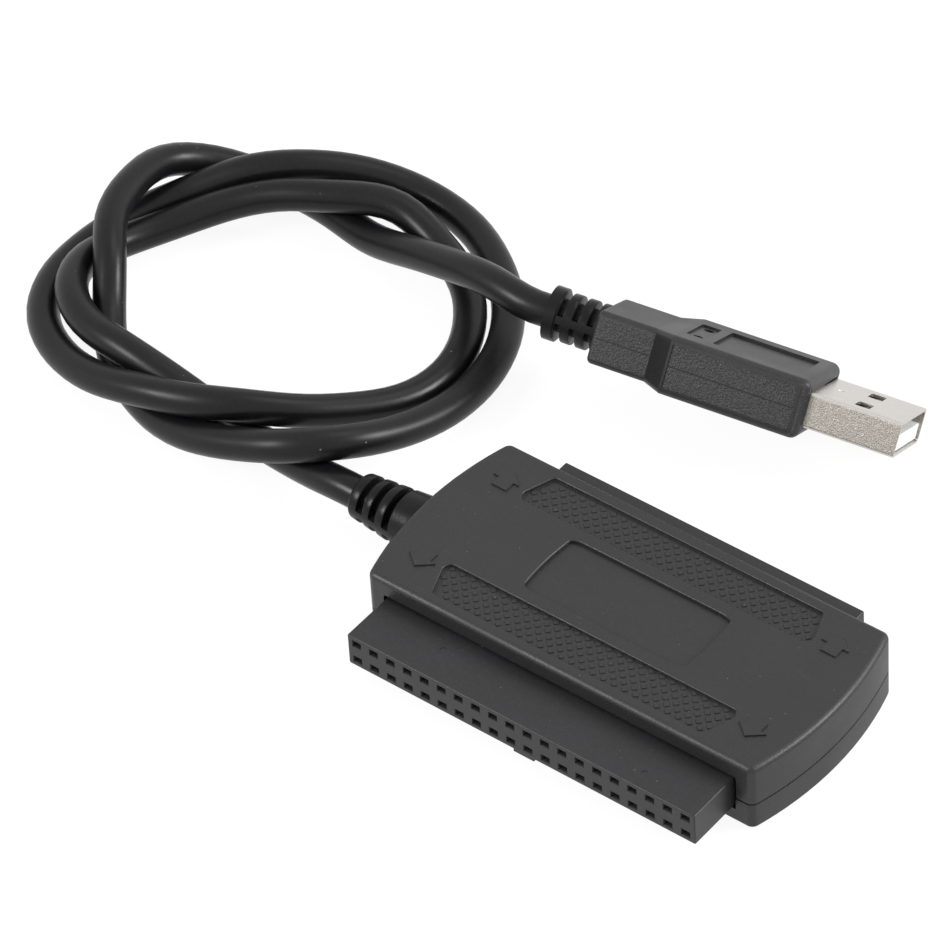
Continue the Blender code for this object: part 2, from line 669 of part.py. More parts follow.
def make_board_parts():
    """The chips, the crystal and the capacitors."""
    bridge = make_object(
        "bridge_chip",
        chip_body(BRIDGE_CHIP_PLACE, BRIDGE_CHIP_SIZE, BRIDGE_CHIP_SIZE, BRIDGE_CHIP_HEIGHT),
        "chip_plastic",
    )
    half = BRIDGE_CHIP_SIZE / 2 + LEAD_REACH
    for along_x in (True, False):
        strips = lead_strips(BRIDGE_CHIP_PLACE, BRIDGE_CHIP_LEAD_COUNT, BRIDGE_CHIP_PITCH, half, along_x)
        combine(bridge, strips, "UNION")
    small_chips = (
        ("memory_chip", MEMORY_CHIP_PLACE, MEMORY_CHIP_LENGTH, MEMORY_CHIP_WIDTH,
         MEMORY_CHIP_HEIGHT, MEMORY_CHIP_LEAD_COUNT, MEMORY_CHIP_PITCH),
        ("regulator", REGULATOR_PLACE, REGULATOR_LENGTH, REGULATOR_WIDTH,
         REGULATOR_HEIGHT, REGULATOR_LEAD_COUNT, REGULATOR_PITCH),
    )
    for name, place, length, width, height, leads, pitch in small_chips:
        chip = make_object(name, chip_body(place, length, width, height), "chip_plastic")
        combine(chip, lead_strips(place, leads, pitch, width / 2 + LEAD_REACH, False), "UNION")
    make_crystal()
    for number, place in enumerate(CAPACITOR_PLACES, start=1):
        body = chip_body(place, CAPACITOR_LENGTH, CAPACITOR_WIDTH, CAPACITOR_HEIGHT)
        make_object(f"capacitor_{number}", body, "capacitor_ceramic")


def make_crystal():
    """The crystal's flat can, with round corners."""
    bottom = BOARD_TOP + FIT_GAP
    outline = rounded_rectangle(CRYSTAL_LENGTH / 2, CRYSTAL_WIDTH / 2, CRYSTAL_CORNER)
    placed = [(x + CRYSTAL_PLACE[0], y + CRYSTAL_PLACE[1]) for x, y in outline]
    rings = [ring_z(placed, z) for z in (bottom, bottom + CRYSTAL_HEIGHT)]
    make_object("crystal", loft(bmesh.new(), rings), "crystal_can")


def slot_cutter(stations, outer_radius, y_centre=0.0, z_centre=0.0):
    """Cutter of boot slots above and below the two side spines, down to a round core."""
    bm = bmesh.new()
    circle = rounded_rectangle(*[SLOT_CORE_RADIUS] * 3)
    reach = outer_radius + 1
    for x in stations:
        for side in (-1, 1):
            z_limits = sorted((z_centre + side * SPINE_HALF_HEIGHT, z_centre + side * reach))
            add_box(
                bm,
                (x - SLOT_WIDTH / 2, x + SLOT_WIDTH / 2),
                (y_centre - reach, y_centre + reach),
                z_limits,
            )
    blocks = make_object("slot_blocks", bm)
    core_length = (min(stations) - SLOT_WIDTH, max(stations) + SLOT_WIDTH)
    core = loft(bmesh.new(), [ring_x(circle, x, y_centre, z_centre) for x in core_length])
    combine(blocks, core, "DIFFERENCE")
    cutter = bmesh.new()
    cutter.from_mesh(blocks.data)
    bmesh.ops.transform(cutter, matrix=Matrix.Scale(1 / MM, 4), verts=cutter.verts)
    bpy.data.objects.remove(blocks, do_unlink=True)
    return cutter


def make_strain_relief():
    """The housing's boot: inner flange, neck through the wall and slotted taper."""
    flange_half_height = min(
        CORD_AXIS_HEIGHT - FLOOR, ROOF_UNDERSIDE - CORD_AXIS_HEIGHT
    ) - FIT_GAP
    flange = rounded_rectangle(RELIEF_FLANGE_HALF_WIDTH, flange_half_height, 0.6)
    neck = rounded_rectangle(*[RELIEF_NECK_RADIUS] * 3)
    root = rounded_rectangle(*[RELIEF_ROOT_RADIUS] * 3)
    end = rounded_rectangle(*[RELIEF_END_RADIUS] * 3)
    end_face = rounded_rectangle(*[RELIEF_END_RADIUS - RELIEF_END_ROUND] * 3)
    stations = (
        (flange, FLANGE_INNER_X),
        (flange, FLANGE_OUTER_X),
        (neck, FLANGE_OUTER_X),
        (neck, RELIEF_ROOT_X),
        (root, RELIEF_ROOT_X),
        (end, RELIEF_END_X + RELIEF_END_ROUND),
        (end_face, RELIEF_END_X),
    )
    bm = loft(bmesh.new(), [ring_x(outline, x, 0.0, CORD_AXIS_HEIGHT) for outline, x in stations])
    relief = make_object("strain_relief", bm, "boot_rubber")
    slots = [RELIEF_ROOT_X - offset for offset in RELIEF_SLOT_OFFSETS]
    combine(relief, slot_cutter(slots, RELIEF_ROOT_RADIUS, 0.0, CORD_AXIS_HEIGHT), "DIFFERENCE")
    return relief


def make_tube(name, points, diameter, material_name, resolution):
    """A round tube with filled ends along a run of points."""
    curve = bpy.data.curves.new(name, "CURVE")
    curve.dimensions = "3D"
    curve.bevel_depth = diameter / 2 * MM
    curve.bevel_resolution = resolution
    curve.use_fill_caps = True
    spline = curve.splines.new("POLY")
    spline.points.add(len(points) - 1)
    for target, point in zip(spline.points, points):
        target.co = (*[value * MM for value in point], 1.0)
    curve.materials.append(material(material_name))
    made = bpy.data.objects.new(name, curve)
    bpy.context.scene.collection.objects.link(made)
    return made


def make_wires():
    """The four wires from the strain relief's flange to the board's end."""
    start = FLANGE_INNER_X + FIT_GAP
    edge = -BOARD_HALF_LENGTH
    rest = BOARD_TOP + FIT_GAP + WIRE_DIAMETER / 2
    for offset, name in zip(column_places(len(WIRE_NAMES), WIRE_PITCH), WIRE_NAMES):
        points = (
            (start, offset, rest + WIRE_LIFT),
            ((start + edge) / 2, offset, rest + WIRE_LIFT / 2),
            (edge, offset, rest),
            (edge + WIRE_ON_BOARD, offset, rest),
        )
        make_tube(name, points, WIRE_DIAMETER, name, 2)


def smooth_route(route, count):
    """Points on the natural cubic curve through a route: its two ends, and even steps between."""
    knots = np.array(route)
    chords = np.linalg.norm(np.diff(knots, axis=0), axis=1)
    at = np.concatenate(([0.0], np.cumsum(chords)))
    size = len(knots)
    system = np.eye(size)
    right = np.zeros((size, 3))
    for index in range(1, size - 1):
        before, after = chords[index - 1], chords[index]
        system[index, index - 1:index + 2] = before, 2 * (before + after), after
        rise = (knots[index + 1] - knots[index]) / after
        right[index] = 6 * (rise - (knots[index] - knots[index - 1]) / before)
    bend = np.linalg.solve(system, right)
    points = []
    for along in (at[0], *np.linspace(at[1], at[-2], count - 2), at[-1]):
        index = min(int(np.searchsorted(at, along, side="right")) - 1, size - 2)
        width = chords[index]
        left, right_share = (at[index + 1] - along) / width, (along - at[index]) / width
        curve = (left**3 - left) * bend[index] + (right_share**3 - right_share) * bend[index + 1]
        points.append(left * knots[index] + right_share * knots[index + 1] + curve * width**2 / 6)
    points = np.array(points)
    points[:, 2] = np.maximum(points[:, 2], CORD_DIAMETER / 2)
    return points.tolist()


def plug_rotation():
    """Turn of the plug's frame."""
    angles = (PLUG_ROLL_DEG, PLUG_NOSE_DOWN_DEG, PLUG_TURN_DEG)
    return Euler([math.radians(angle) for angle in angles])


def cord_ends():
    """Straight ends of the lead, out of the housing's boot and into the plug's."""
    start_x = RELIEF_END_X - FIT_GAP
    start = [(x, 0.0, CORD_AXIS_HEIGHT) for x in (start_x, start_x - CORD_STRAIGHT_END)]
    end_x = BOOT_END_X - FIT_GAP
    turn = plug_rotation().to_matrix()
    along = [Vector((x, 0.0, 0.0)) for x in (end_x - CORD_STRAIGHT_END, end_x)]
    end = [tuple(Vector(PLUG_ORIGIN) + turn @ point) for point in along]
    return start, end


def make_cord():
    """The lead, from the housing's strain relief to the plug's boot."""
    start, end = cord_ends()
    points = smooth_route([*start, *CORD_ROUTE, *end], CORD_POINT_COUNT)
    return make_tube("usb_cord", points, CORD_DIAMETER, "cord_rubber", 3)


def make_plug_frame():
    """Empty that stands at the middle of the plug's mouth and carries the plug."""
    frame = bpy.data.objects.new("plug_frame", None)
    frame.location = [value * MM for value in PLUG_ORIGIN]
    frame.rotation_euler = plug_rotation()
    bpy.context.scene.collection.objects.link(frame)
    return frame


def make_plug_shell(frame):
    """The steel shell: a seamless tube with two windows on each broad side."""
    outer = rounded_rectangle(SHELL_WIDTH / 2, SHELL_HEIGHT / 2, SHELL_CORNER)
    inner = rounded_rectangle(
        SHELL_WIDTH / 2 - SHELL_WALL, SHELL_HEIGHT / 2 - SHELL_WALL, SHELL_CORNER - SHELL_WALL / 2
    )
    back = -(SHELL_LENGTH + SHELL_BURIED)
    shell = make_object(
        "plug_shell", loft(bmesh.new(), [ring_x(outer, x) for x in (back, 0.0)]), "plated_steel", frame
    )
    bore = loft(bmesh.new(), [ring_x(inner, x) for x in (back - 1, 1.0)])
    combine(shell, bore, "DIFFERENCE")
    windows = bmesh.new()
    for y in (-SHELL_WINDOW_Y, SHELL_WINDOW_Y):
        add_box(
            windows,
            (SHELL_WINDOW_X - SHELL_WINDOW_LENGTH / 2, SHELL_WINDOW_X + SHELL_WINDOW_LENGTH / 2),
            (y - SHELL_WINDOW_WIDTH / 2, y + SHELL_WINDOW_WIDTH / 2),
            (-SHELL_HEIGHT, SHELL_HEIGHT),
        )
    combine(shell, windows, "DIFFERENCE")
    return shell


def make_plug_tongue(frame):
    """The insulator in the lower half of the shell."""
    half_width = SHELL_WIDTH / 2 - SHELL_WALL - FIT_GAP
    bottom = -(SHELL_HEIGHT / 2 - SHELL_WALL - FIT_GAP / 2)
    bm = add_box(
        bmesh.new(),
        (-(SHELL_LENGTH + SHELL_BURIED), -TONGUE_SET_BACK),
        (-half_width, half_width),
        (bottom, bottom + TONGUE_HEIGHT),
    )
    make_object("plug_tongue", bm, "tongue_plastic", frame)
    return bottom + TONGUE_HEIGHT


def make_plug_contacts(frame, tongue_top):
    """The four contact strips on the tongue."""
    start = -(TONGUE_SET_BACK + CONTACT_SET_BACK)
    bottom = tongue_top + CONTACT_GAP
    for number, y in enumerate(CONTACT_SPACING, start=1):
        bm = add_box(
            bmesh.new(),
            (start - CONTACT_LENGTH, start),
            (y - CONTACT_WIDTH / 2, y + CONTACT_WIDTH / 2),
            (bottom, bottom + CONTACT_THICKNESS),
        )
        make_object(f"plug_contact_{number}", bm, "gold_plate", frame)


def overmould_rings():
    """Rings of the overmould from its front face back to the end of its boot."""
    rings = []
    for step in range(ARC_STEPS + 1):
        angle = math.radians(90) * step / ARC_STEPS
        inset = OVERMOULD_FRONT_ROUND * (1 - math.sin(angle))
        back = OVERMOULD_FRONT_ROUND * (1 - math.cos(angle))
        outline = rounded_rectangle(
            OVERMOULD_HALF_WIDTH - inset, OVERMOULD_HALF_HEIGHT - inset, OVERMOULD_CORNER
        )
        rings.append(ring_x(outline, OVERMOULD_FRONT_X - back))
    block = rounded_rectangle(OVERMOULD_HALF_WIDTH, OVERMOULD_HALF_HEIGHT, OVERMOULD_CORNER)
    rear = rounded_rectangle(REAR_HALF_WIDTH, REAR_HALF_HEIGHT, OVERMOULD_CORNER)
    rear_face = rounded_rectangle(
        REAR_HALF_WIDTH - REAR_EDGE_ROUND, REAR_HALF_HEIGHT - REAR_EDGE_ROUND, OVERMOULD_CORNER
    )
    boot = rounded_rectangle(*[BOOT_ROOT_RADIUS] * 3)
    body = rounded_rectangle(*[BOOT_RADIUS] * 3)
    end_ring = rounded_rectangle(*[BOOT_RING_RADIUS] * 3)
    ring_start = BOOT_END_X + BOOT_RING_LENGTH
    rings += [
        ring_x(block, FRONT_BLOCK_END_X),
        ring_x(rear, SHOULDER_END_X),
        ring_x(rear, REAR_BLOCK_END_X + REAR_EDGE_ROUND),
        ring_x(rear_face, REAR_BLOCK_END_X),
        ring_x(boot, REAR_BLOCK_END_X),
        ring_x(body, REAR_BLOCK_END_X - REAR_EDGE_ROUND),
        ring_x(body, ring_start),
        ring_x(end_ring, ring_start),
        ring_x(end_ring, BOOT_END_X),
    ]
    return rings


def make_plug_overmould(frame):
    """The plug's grip and boot in one piece, with a pocket for the shell."""
    solid = loft(bmesh.new(), overmould_rings())
    overmould = make_object("plug_overmould", solid, "plug_plastic", frame)
    pocket_outline = rounded_rectangle(
        SHELL_WIDTH / 2 + FIT_GAP, SHELL_HEIGHT / 2 + FIT_GAP, SHELL_CORNER
    )
    pocket_stations = (OVERMOULD_FRONT_X + 1, OVERMOULD_FRONT_X - SHELL_BURIED - FIT_GAP)
    pocket = loft(bmesh.new(), [ring_x(pocket_outline, x) for x in pocket_stations])
    combine(overmould, pocket, "DIFFERENCE")
    combine(overmould, overmould_recesses(), "DIFFERENCE")
    slots = [REAR_BLOCK_END_X - offset for offset in BOOT_SLOT_OFFSETS]
    cutter = slot_cutter(slots, BOOT_RING_RADIUS)
    combine(overmould, cutter, "DIFFERENCE")
    return overmould


def overmould_recesses():
    """Cutter of the shallow recesses on the overmould's broad face and its two sides."""
    bm = bmesh.new()
    top = OVERMOULD_HALF_HEIGHT
    label_front = OVERMOULD_FRONT_X - PLUG_LABEL_START
    pins_front = OVERMOULD_FRONT_X - PLUG_PIN_RECESS_START
    add_box(
        bm,
        (label_front - PLUG_LABEL_LENGTH, label_front),
        (-PLUG_LABEL_HALF_WIDTH, PLUG_LABEL_HALF_WIDTH),
        (top - PLUG_LABEL_DEPTH, top + 1),
    )
    add_box(
        bm,
        (pins_front - PLUG_PIN_RECESS_LENGTH, pins_front),
        (-PLUG_PIN_RECESS_HALF_WIDTH, PLUG_PIN_RECESS_HALF_WIDTH),
        (top - PLUG_PIN_RECESS_DEPTH, top + 1),
    )
    for side in (-1, 1):
        inner = side * (OVERMOULD_HALF_WIDTH - PLUG_SIDE_PANEL_DEPTH)
        outer = side * (OVERMOULD_HALF_WIDTH + 1)
        add_box(
            bm,
            (FRONT_BLOCK_END_X + FIT_GAP, OVERMOULD_FRONT_X - PLUG_SIDE_PANEL_START),
            sorted((inner, outer)),
            (-PLUG_SIDE_PANEL_HALF_HEIGHT, PLUG_SIDE_PANEL_HALF_HEIGHT),
        )
    return bm


def make_plug():
    """The USB plug at the lead's far end."""
    frame = make_plug_frame()
    make_plug_shell(frame)
    tongue_top = make_plug_tongue(frame)
    make_plug_contacts(frame, tongue_top)
    make_plug_overmould(frame)


def main():
    """Build every piece."""
    clear_scene()
    make_upper_shell()
    make_lower_shell()
    make_sockets()
    make_board()
    make_board_parts()
    make_strain_relief()
    make_wires()
    make_cord()
    make_plug()


main()
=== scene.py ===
"""Studio scene of a USB to hard-drive adapter with a captive lead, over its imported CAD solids.

Sizes in the classes are millimetres, in the frame of the CAD: the origin is the middle of the
housing's underside, +X away from the lead, +Y from the 40-way socket towards the 44-way
socket, +Z up. A piece becomes metres when its mesh is finished.
"""

import logging
import math
from dataclasses import dataclass, field
from enum import Enum
from typing import Callable, Iterable, Sequence

import bmesh
import bpy
import numpy as np
from mathutils import Euler, Matrix, Vector


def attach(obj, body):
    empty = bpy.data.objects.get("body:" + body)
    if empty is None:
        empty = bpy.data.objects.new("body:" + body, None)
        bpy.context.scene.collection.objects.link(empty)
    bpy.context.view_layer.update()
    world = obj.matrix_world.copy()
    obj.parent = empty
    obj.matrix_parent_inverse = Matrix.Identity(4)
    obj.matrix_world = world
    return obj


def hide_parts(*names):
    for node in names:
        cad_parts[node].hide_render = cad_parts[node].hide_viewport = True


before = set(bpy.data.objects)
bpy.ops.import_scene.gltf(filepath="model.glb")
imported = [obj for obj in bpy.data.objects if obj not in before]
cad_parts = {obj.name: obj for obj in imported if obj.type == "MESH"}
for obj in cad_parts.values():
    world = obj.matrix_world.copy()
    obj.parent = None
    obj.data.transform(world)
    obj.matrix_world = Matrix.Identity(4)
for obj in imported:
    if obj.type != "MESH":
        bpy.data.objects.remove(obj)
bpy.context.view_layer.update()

LOG = logging.getLogger("adapter")
MM = 0.001
BODY = "root"
SHARP_ANGLE = math.radians(32.0)
TOLERANCE = 0.01
MERGE_REACH = 0.0005
CUT_PAST = 1.0
FIT_GAP = 0.3
CORD_AXIS_HEIGHT = 4.93
CREASE_DEG = 50.0
CORNER_DEG = 60.0
FOLD_DEG = 12.0
SIDEWAYS = 0.9
HALF_SIDEWAYS = 0.7

Point = tuple[float, float, float]
Colour = tuple[float, float, float]
Pair = tuple[float, float]
PlanSizes = tuple[float, float, float, float]
Mesh = bmesh.types.BMesh
Face = bmesh.types.BMFace
Vert = bmesh.types.BMVert
Edge = bmesh.types.BMEdge
Output = bpy.types.NodeSocket


class Slot(Enum):
    """Names of the material slots."""

    HOUSING = "housing"
    SOCKET = "socket"
    BOARD = "board"
    CHIP = "chip"
    CRYSTAL = "crystal"
    CAPACITOR = "capacitor"
    BOOT = "boot"
    CORD = "cord"
    PLUG = "plug"
    SHELL = "shell"
    TONGUE = "tongue"
    CONTACT = "contact"
    RED_WIRE = "red_wire"
    WHITE_WIRE = "white_wire"
    GREEN_WIRE = "green_wire"
    BLACK_WIRE = "black_wire"


class Side(Enum):
    """The housing's two long sides."""

    NEAR = -1
    FAR = 1


class Cut(Enum):
    """What a Boolean does with its tool."""

    AWAY = "DIFFERENCE"
    JOIN = "UNION"


# Helpers for materials


class NodeBook:
    """One material and the nodes that make its look."""

    def __init__(self, name: str) -> None:
        """Start an empty node tree with its output.

        Args:
            name: Name of the material.
        """
        self.material = bpy.data.materials.new(name)
        self.material.use_nodes = True
        self.tree = self.material.node_tree
        self.tree.nodes.clear()
        self.output = self.tree.nodes.new("ShaderNodeOutputMaterial")

    def add(self, kind: str, settings: dict | None = None, **sockets: object) -> bpy.types.Node:
        """Add a node, set it up and feed its sockets.

        Args:
            kind: Node type without its "ShaderNode" start.
            settings: Properties of the node itself.
            **sockets: Value or output for each input, with its name's spaces as underscores.

        Returns:
            The new node.
        """
        node = self.tree.nodes.new("ShaderNode" + kind)
        for key, value in (settings or {}).items():
            setattr(node, key, value)
        for key, value in sockets.items():
            self.feed(node, key.replace("_", " "), value)
        return node

    def feed(self, node: bpy.types.Node, socket: str | int, value: object) -> None:
        """Give an input a value, or link an output to it.

        Args:
            node: Node that owns the input.
            socket: Name or index of the input.
            value: A number, a tuple or another node's output.
        """
        if isinstance(value, Output):
            self.tree.links.new(value, node.inputs[socket])
        elif isinstance(value, tuple) and len(value) == 3 and node.inputs[socket].type == "RGBA":
            node.inputs[socket].default_value = (*value, 1.0)
        else:
            node.inputs[socket].default_value = value

    def maths(self, operation: str, first: object, second: object = 0.0) -> Output:
        """Add a Math node.

        Args:
            operation: Name of the operation.
            first: First value or output.
            second: Second value or output.

        Returns:
            The node's output.
        """
        node = self.add("Math", {"operation": operation})
        self.feed(node, 0, first)
        self.feed(node, 1, second)
        return node.outputs[0]

    def object_place(self, scale: Point = (1.0, 1.0, 1.0), turn: Point = (0.0, 0.0, 0.0)) -> Output:
        """Object coordinates through a Mapping node.

        Args:
            scale: Stretch along each axis.
            turn: Turn about each axis, in degrees.

        Returns:
            The mapped coordinates.
        """
        place = self.add("TexCoord").outputs["Object"]
        angles = tuple(math.radians(value) for value in turn)
        return self.add("Mapping", Vector=place, Rotation=angles, Scale=scale).outputs[0]

    def noise(self, size_mm: float, detail: float = 3.0, place: object = None) -> Output:
        """Noise whose blotches have a real size.

        Args:
            size_mm: Size of a blotch, in millimetres.
            detail: Octaves of finer noise.
            place: Coordinates, or None for the object's own.

        Returns:
            The noise's value.
        """
        place = place or self.object_place()
        node = self.add("TexNoise", Vector=place, Scale=1.0 / (size_mm * MM), Detail=detail)
        return node.outputs[0]

    def band(
        self, value: object, low: float, high: float, to_low: float = 0.0, to_high: float = 1.0
    ) -> Output:
        """Map a range of values onto another and clamp it.

        Args:
            value: Input value.
            low: Input that gives to_low.
            high: Input that gives to_high.
            to_low: First output value.
            to_high: Last output value.

        Returns:
            The mapped value.
        """
        node = self.add("MapRange", {"clamp": True})
        for index, part in enumerate((value, low, high, to_low, to_high)):
            self.feed(node, index, part)
        return node.outputs[0]

    def blend(self, share: object, first: object, second: object) -> Output:
        """Mix two colours.

        Args:
            share: How much of the second colour.
            first: First colour.
            second: Second colour.

        Returns:
            The mixed colour.
        """
        node = self.add("Mix", {"data_type": "RGBA"})
        self.feed(node, 0, share)
        for index, colour in ((6, first), (7, second)):
            self.feed(node, index, colour)
        return node.outputs[2]

    def bump(self, height: object, depth_mm: float, strength: float = 1.0) -> Output:
        """Bump from a height between 0 and 1.

        Args:
            height: The height.
            depth_mm: What a height of 1 stands for, in millimetres.
            strength: Strength of the bump.

        Returns:
            The changed normal.
        """
        return self.add("Bump", Strength=strength, Distance=depth_mm * MM, Height=height).outputs[0]

    def finish(self, **sockets: object) -> bpy.types.Material:
        """Close the tree with a Principled shader.

        Args:
            **sockets: Values for the shader's inputs.

        Returns:
            The material.
        """
        shader = self.add("BsdfPrincipled", None, **sockets)
        self.tree.links.new(shader.outputs[0], self.output.inputs[0])
        return self.material


@dataclass(frozen=True)
class MouldedPlastic:
    """Moulded plastic or rubber with a fine spark-eroded grain, dust and light scuffs."""

    name: str
    colour: Colour
    roughness: float
    grain_mm: float = 0.22
    grain_depth_mm: float = 0.03
    grain_strength: float = 0.7
    grain_contrast: float = 0.25
    grain_band: Pair = (0.42, 0.6)
    mottle: float = 0.12
    speck_spacing_mm: float = 0.8
    speck_share: float = 0.45
    speck_radius: float = 0.07
    speck_colour: Colour = (0.17, 0.17, 0.17)
    scuff: float = 0.08
    specular: float = 0.5
    cloud_mm: float = 9.0
    cloud_band: Pair = (0.35, 0.65)
    gloss_band: Pair = (0.3, 0.7)
    gloss_swing: Pair = (0.05, 0.06)
    least_speck: float = 0.3
    scuff_turns: Pair = (24.0, -52.0)
    scuff_stretch: Point = (0.12, 1.6, 1.0)
    scuff_mm: float = 1.4
    scuff_half_width: float = 0.0035
    patch_mm: float = 5.0
    patch_band: Pair = (0.62, 0.68)

    def specks(self, book: NodeBook) -> Output:
        """Mask of the dust specks.

        Args:
            book: Nodes of the material.

        Returns:
            The mask, 1 on a speck.
        """
        cells = book.add(
            "TexVoronoi", Vector=book.object_place(), Scale=1.0 / (self.speck_spacing_mm * MM)
        )
        parts = book.add("SeparateColor", Color=cells.outputs["Color"])
        kept = book.maths("LESS_THAN", parts.outputs[0], self.speck_share)
        least = self.least_speck * self.speck_radius
        reach = book.band(parts.outputs[1], 0.0, 1.0, least, self.speck_radius)
        near = book.maths("LESS_THAN", cells.outputs["Distance"], reach)
        return book.maths("MULTIPLY", kept, near)

    def scuffs(self, book: NodeBook) -> Output:
        """Mask of the fine scuffs, as short thin lines in a few places.

        Args:
            book: Nodes of the material.

        Returns:
            The mask, 1 on a scuff.
        """
        lines = None
        for turn in self.scuff_turns:
            place = book.object_place(scale=self.scuff_stretch, turn=(0.0, 0.0, turn))
            wave = book.noise(self.scuff_mm, 1.0, place)
            off = book.maths("ABSOLUTE", book.maths("SUBTRACT", wave, 0.5))
            line = book.maths("LESS_THAN", off, self.scuff_half_width)
            lines = line if lines is None else book.maths("MAXIMUM", lines, line)
        patches = book.band(book.noise(self.patch_mm, 1.0), *self.patch_band)
        return book.maths("MULTIPLY", book.maths("MULTIPLY", lines, patches), self.scuff)

    def material(self) -> bpy.types.Material:
        """Make the material.

        Returns:
            The material.
        """
        book = NodeBook(self.name)
        cloud = book.noise(self.cloud_mm, 4.0)
        grain = book.noise(self.grain_mm, 4.0)
        pale = tuple(value * (1 + self.mottle) for value in self.colour)
        deep = tuple(value * (1 - self.mottle) for value in self.colour)
        base = book.blend(book.band(cloud, *self.cloud_band), deep, pale)
        pit = tuple(value * (1 - self.grain_contrast) for value in self.colour)
        peak = tuple(value * (1 + self.grain_contrast) for value in self.colour)
        grained = book.blend(book.band(grain, *self.grain_band), pit, peak)
        fine = book.blend(0.5, base, grained)
        marks = book.maths("MAXIMUM", self.specks(book), self.scuffs(book))
        colour = book.blend(marks, fine, self.speck_colour)
        smooth, rough = self.roughness - self.gloss_swing[0], self.roughness + self.gloss_swing[1]
        gloss = book.band(cloud, *self.gloss_band, smooth, rough)
        return book.finish(
            Base_Color=colour,
            Roughness=gloss,
            Specular_IOR_Level=self.specular,
            Normal=book.bump(grain, self.grain_depth_mm, self.grain_strength),
        )


@dataclass(frozen=True)
class SheetMetal:
    """Plated sheet metal with a rolled finish and fine scratches."""

    name: str
    colour: Colour
    roughness: float
    grain_mm: float = 0.15
    grain_depth_mm: float = 0.004
    tarnish: float = 0.25
    cloud_mm: float = 2.2
    tarnish_band: Pair = (0.45, 0.75)
    gloss_band: Pair = (0.3, 0.7)
    gloss_swing: Pair = (0.08, 0.1)
    rolled_mm: float = 0.4
    rolled_stretch: Point = (0.15, 2.0, 2.0)
    rolled_share: float = 0.6
    grain_strength: float = 0.7

    def material(self) -> bpy.types.Material:
        """Make the material.

        Returns:
            The material.
        """
        book = NodeBook(self.name)
        cloud = book.noise(self.cloud_mm, 5.0)
        grain = book.noise(self.grain_mm, 3.0)
        rolled = book.noise(self.rolled_mm, 3.0, book.object_place(scale=self.rolled_stretch))
        dull = tuple(value * (1 - self.tarnish) for value in self.colour)
        colour = book.blend(book.band(cloud, *self.tarnish_band), self.colour, dull)
        smooth, rough = self.roughness - self.gloss_swing[0], self.roughness + self.gloss_swing[1]
        gloss = book.band(grain, *self.gloss_band, smooth, rough)
        height = book.maths("ADD", grain, book.maths("MULTIPLY", rolled, self.rolled_share))
        return book.finish(
            Base_Color=colour,
            Metallic=1.0,
            Roughness=gloss,
            Normal=book.bump(height, self.grain_depth_mm, self.grain_strength),
        )


@dataclass(frozen=True)
class WovenLaminate:
    """Green circuit-board laminate with its glass weave and copper tracks under the mask."""

    name: str
    colour: Colour
    track_colour: Colour
    roughness: float = 0.4
    weave_scale: float = 700.0
    track_scale: float = 240.0
    weave_depth_mm: float = 0.01
    weave_strength: float = 0.4

    def material(self) -> bpy.types.Material:
        """Make the material.

        Returns:
            The material.
        """
        book = NodeBook(self.name)
        place = book.object_place()
        weave, cross = (
            book.add("TexWave", {"bands_direction": way}, Vector=place, Scale=self.weave_scale)
            for way in ("X", "Y")
        )
        cloth = book.maths("MULTIPLY", weave.outputs[1], cross.outputs[1])
        bricks = book.add("TexBrick", Vector=place, Scale=self.track_scale)
        tracks = book.maths("GREATER_THAN", bricks.outputs["Fac"], 0.5)
        colour = book.blend(tracks, self.colour, self.track_colour)
        return book.finish(
            Base_Color=colour, Roughness=self.roughness,
            Normal=book.bump(cloth, self.weave_depth_mm, self.weave_strength),
        )


@dataclass(frozen=True)
class Insulation:
    """Smooth extruded insulation with a faint draw grain."""

    name: str
    colour: Colour
    roughness: float = 0.42
    drawn_mm: float = 0.5
    drawn_stretch: Point = (0.2, 1.0, 1.0)
    drawn_band: Pair = (0.35, 0.7)
    drawn_depth_mm: float = 0.006
    drawn_strength: float = 0.5
    deep_share: float = 0.8

    def material(self) -> bpy.types.Material:
        """Make the material.

        Returns:
            The material.
        """
        book = NodeBook(self.name)
        drawn = book.noise(self.drawn_mm, 3.0, book.object_place(scale=self.drawn_stretch))
        deep = tuple(value * self.deep_share for value in self.colour)
        colour = book.blend(book.band(drawn, *self.drawn_band), self.colour, deep)
        return book.finish(
            Base_Color=colour, Roughness=self.roughness,
            Normal=book.bump(drawn, self.drawn_depth_mm, self.drawn_strength),
        )


Finish = MouldedPlastic | SheetMetal | WovenLaminate | Insulation

HOUSING_PLASTIC = MouldedPlastic(
    "housing_plastic", (0.0125, 0.0125, 0.0132), 0.44, grain_depth_mm=0.05, specular=0.46
)
SOCKET_PLASTIC = MouldedPlastic(
    "socket_plastic", (0.014, 0.014, 0.0155), 0.42, grain_mm=0.4, grain_depth_mm=0.01, mottle=0.2,
    specular=0.42,
)
BOOT_RUBBER = MouldedPlastic(
    "boot_rubber", (0.006, 0.006, 0.0065), 0.32, grain_mm=0.3, grain_depth_mm=0.03,
    speck_spacing_mm=0.9, specular=0.18,
)
CORD_RUBBER = MouldedPlastic(
    "cord_rubber", (0.006, 0.006, 0.0068), 0.33, grain_mm=0.5, grain_depth_mm=0.01,
    speck_spacing_mm=1.6, speck_share=0.25, scuff=0.04, specular=0.24,
)
PLUG_PLASTIC = MouldedPlastic(
    "plug_plastic", (0.017, 0.017, 0.018), 0.46, grain_mm=0.3, grain_depth_mm=0.03, specular=0.4
)
PLUG_GRAIN = MouldedPlastic(
    "plug_side_grain", (0.024, 0.024, 0.026), 0.46, grain_mm=0.22, grain_depth_mm=0.14,
    grain_strength=1.0, grain_contrast=1.0, grain_band=(0.47, 0.55), specular=0.5, scuff=0.0,
    speck_colour=(0.3, 0.3, 0.3),
)
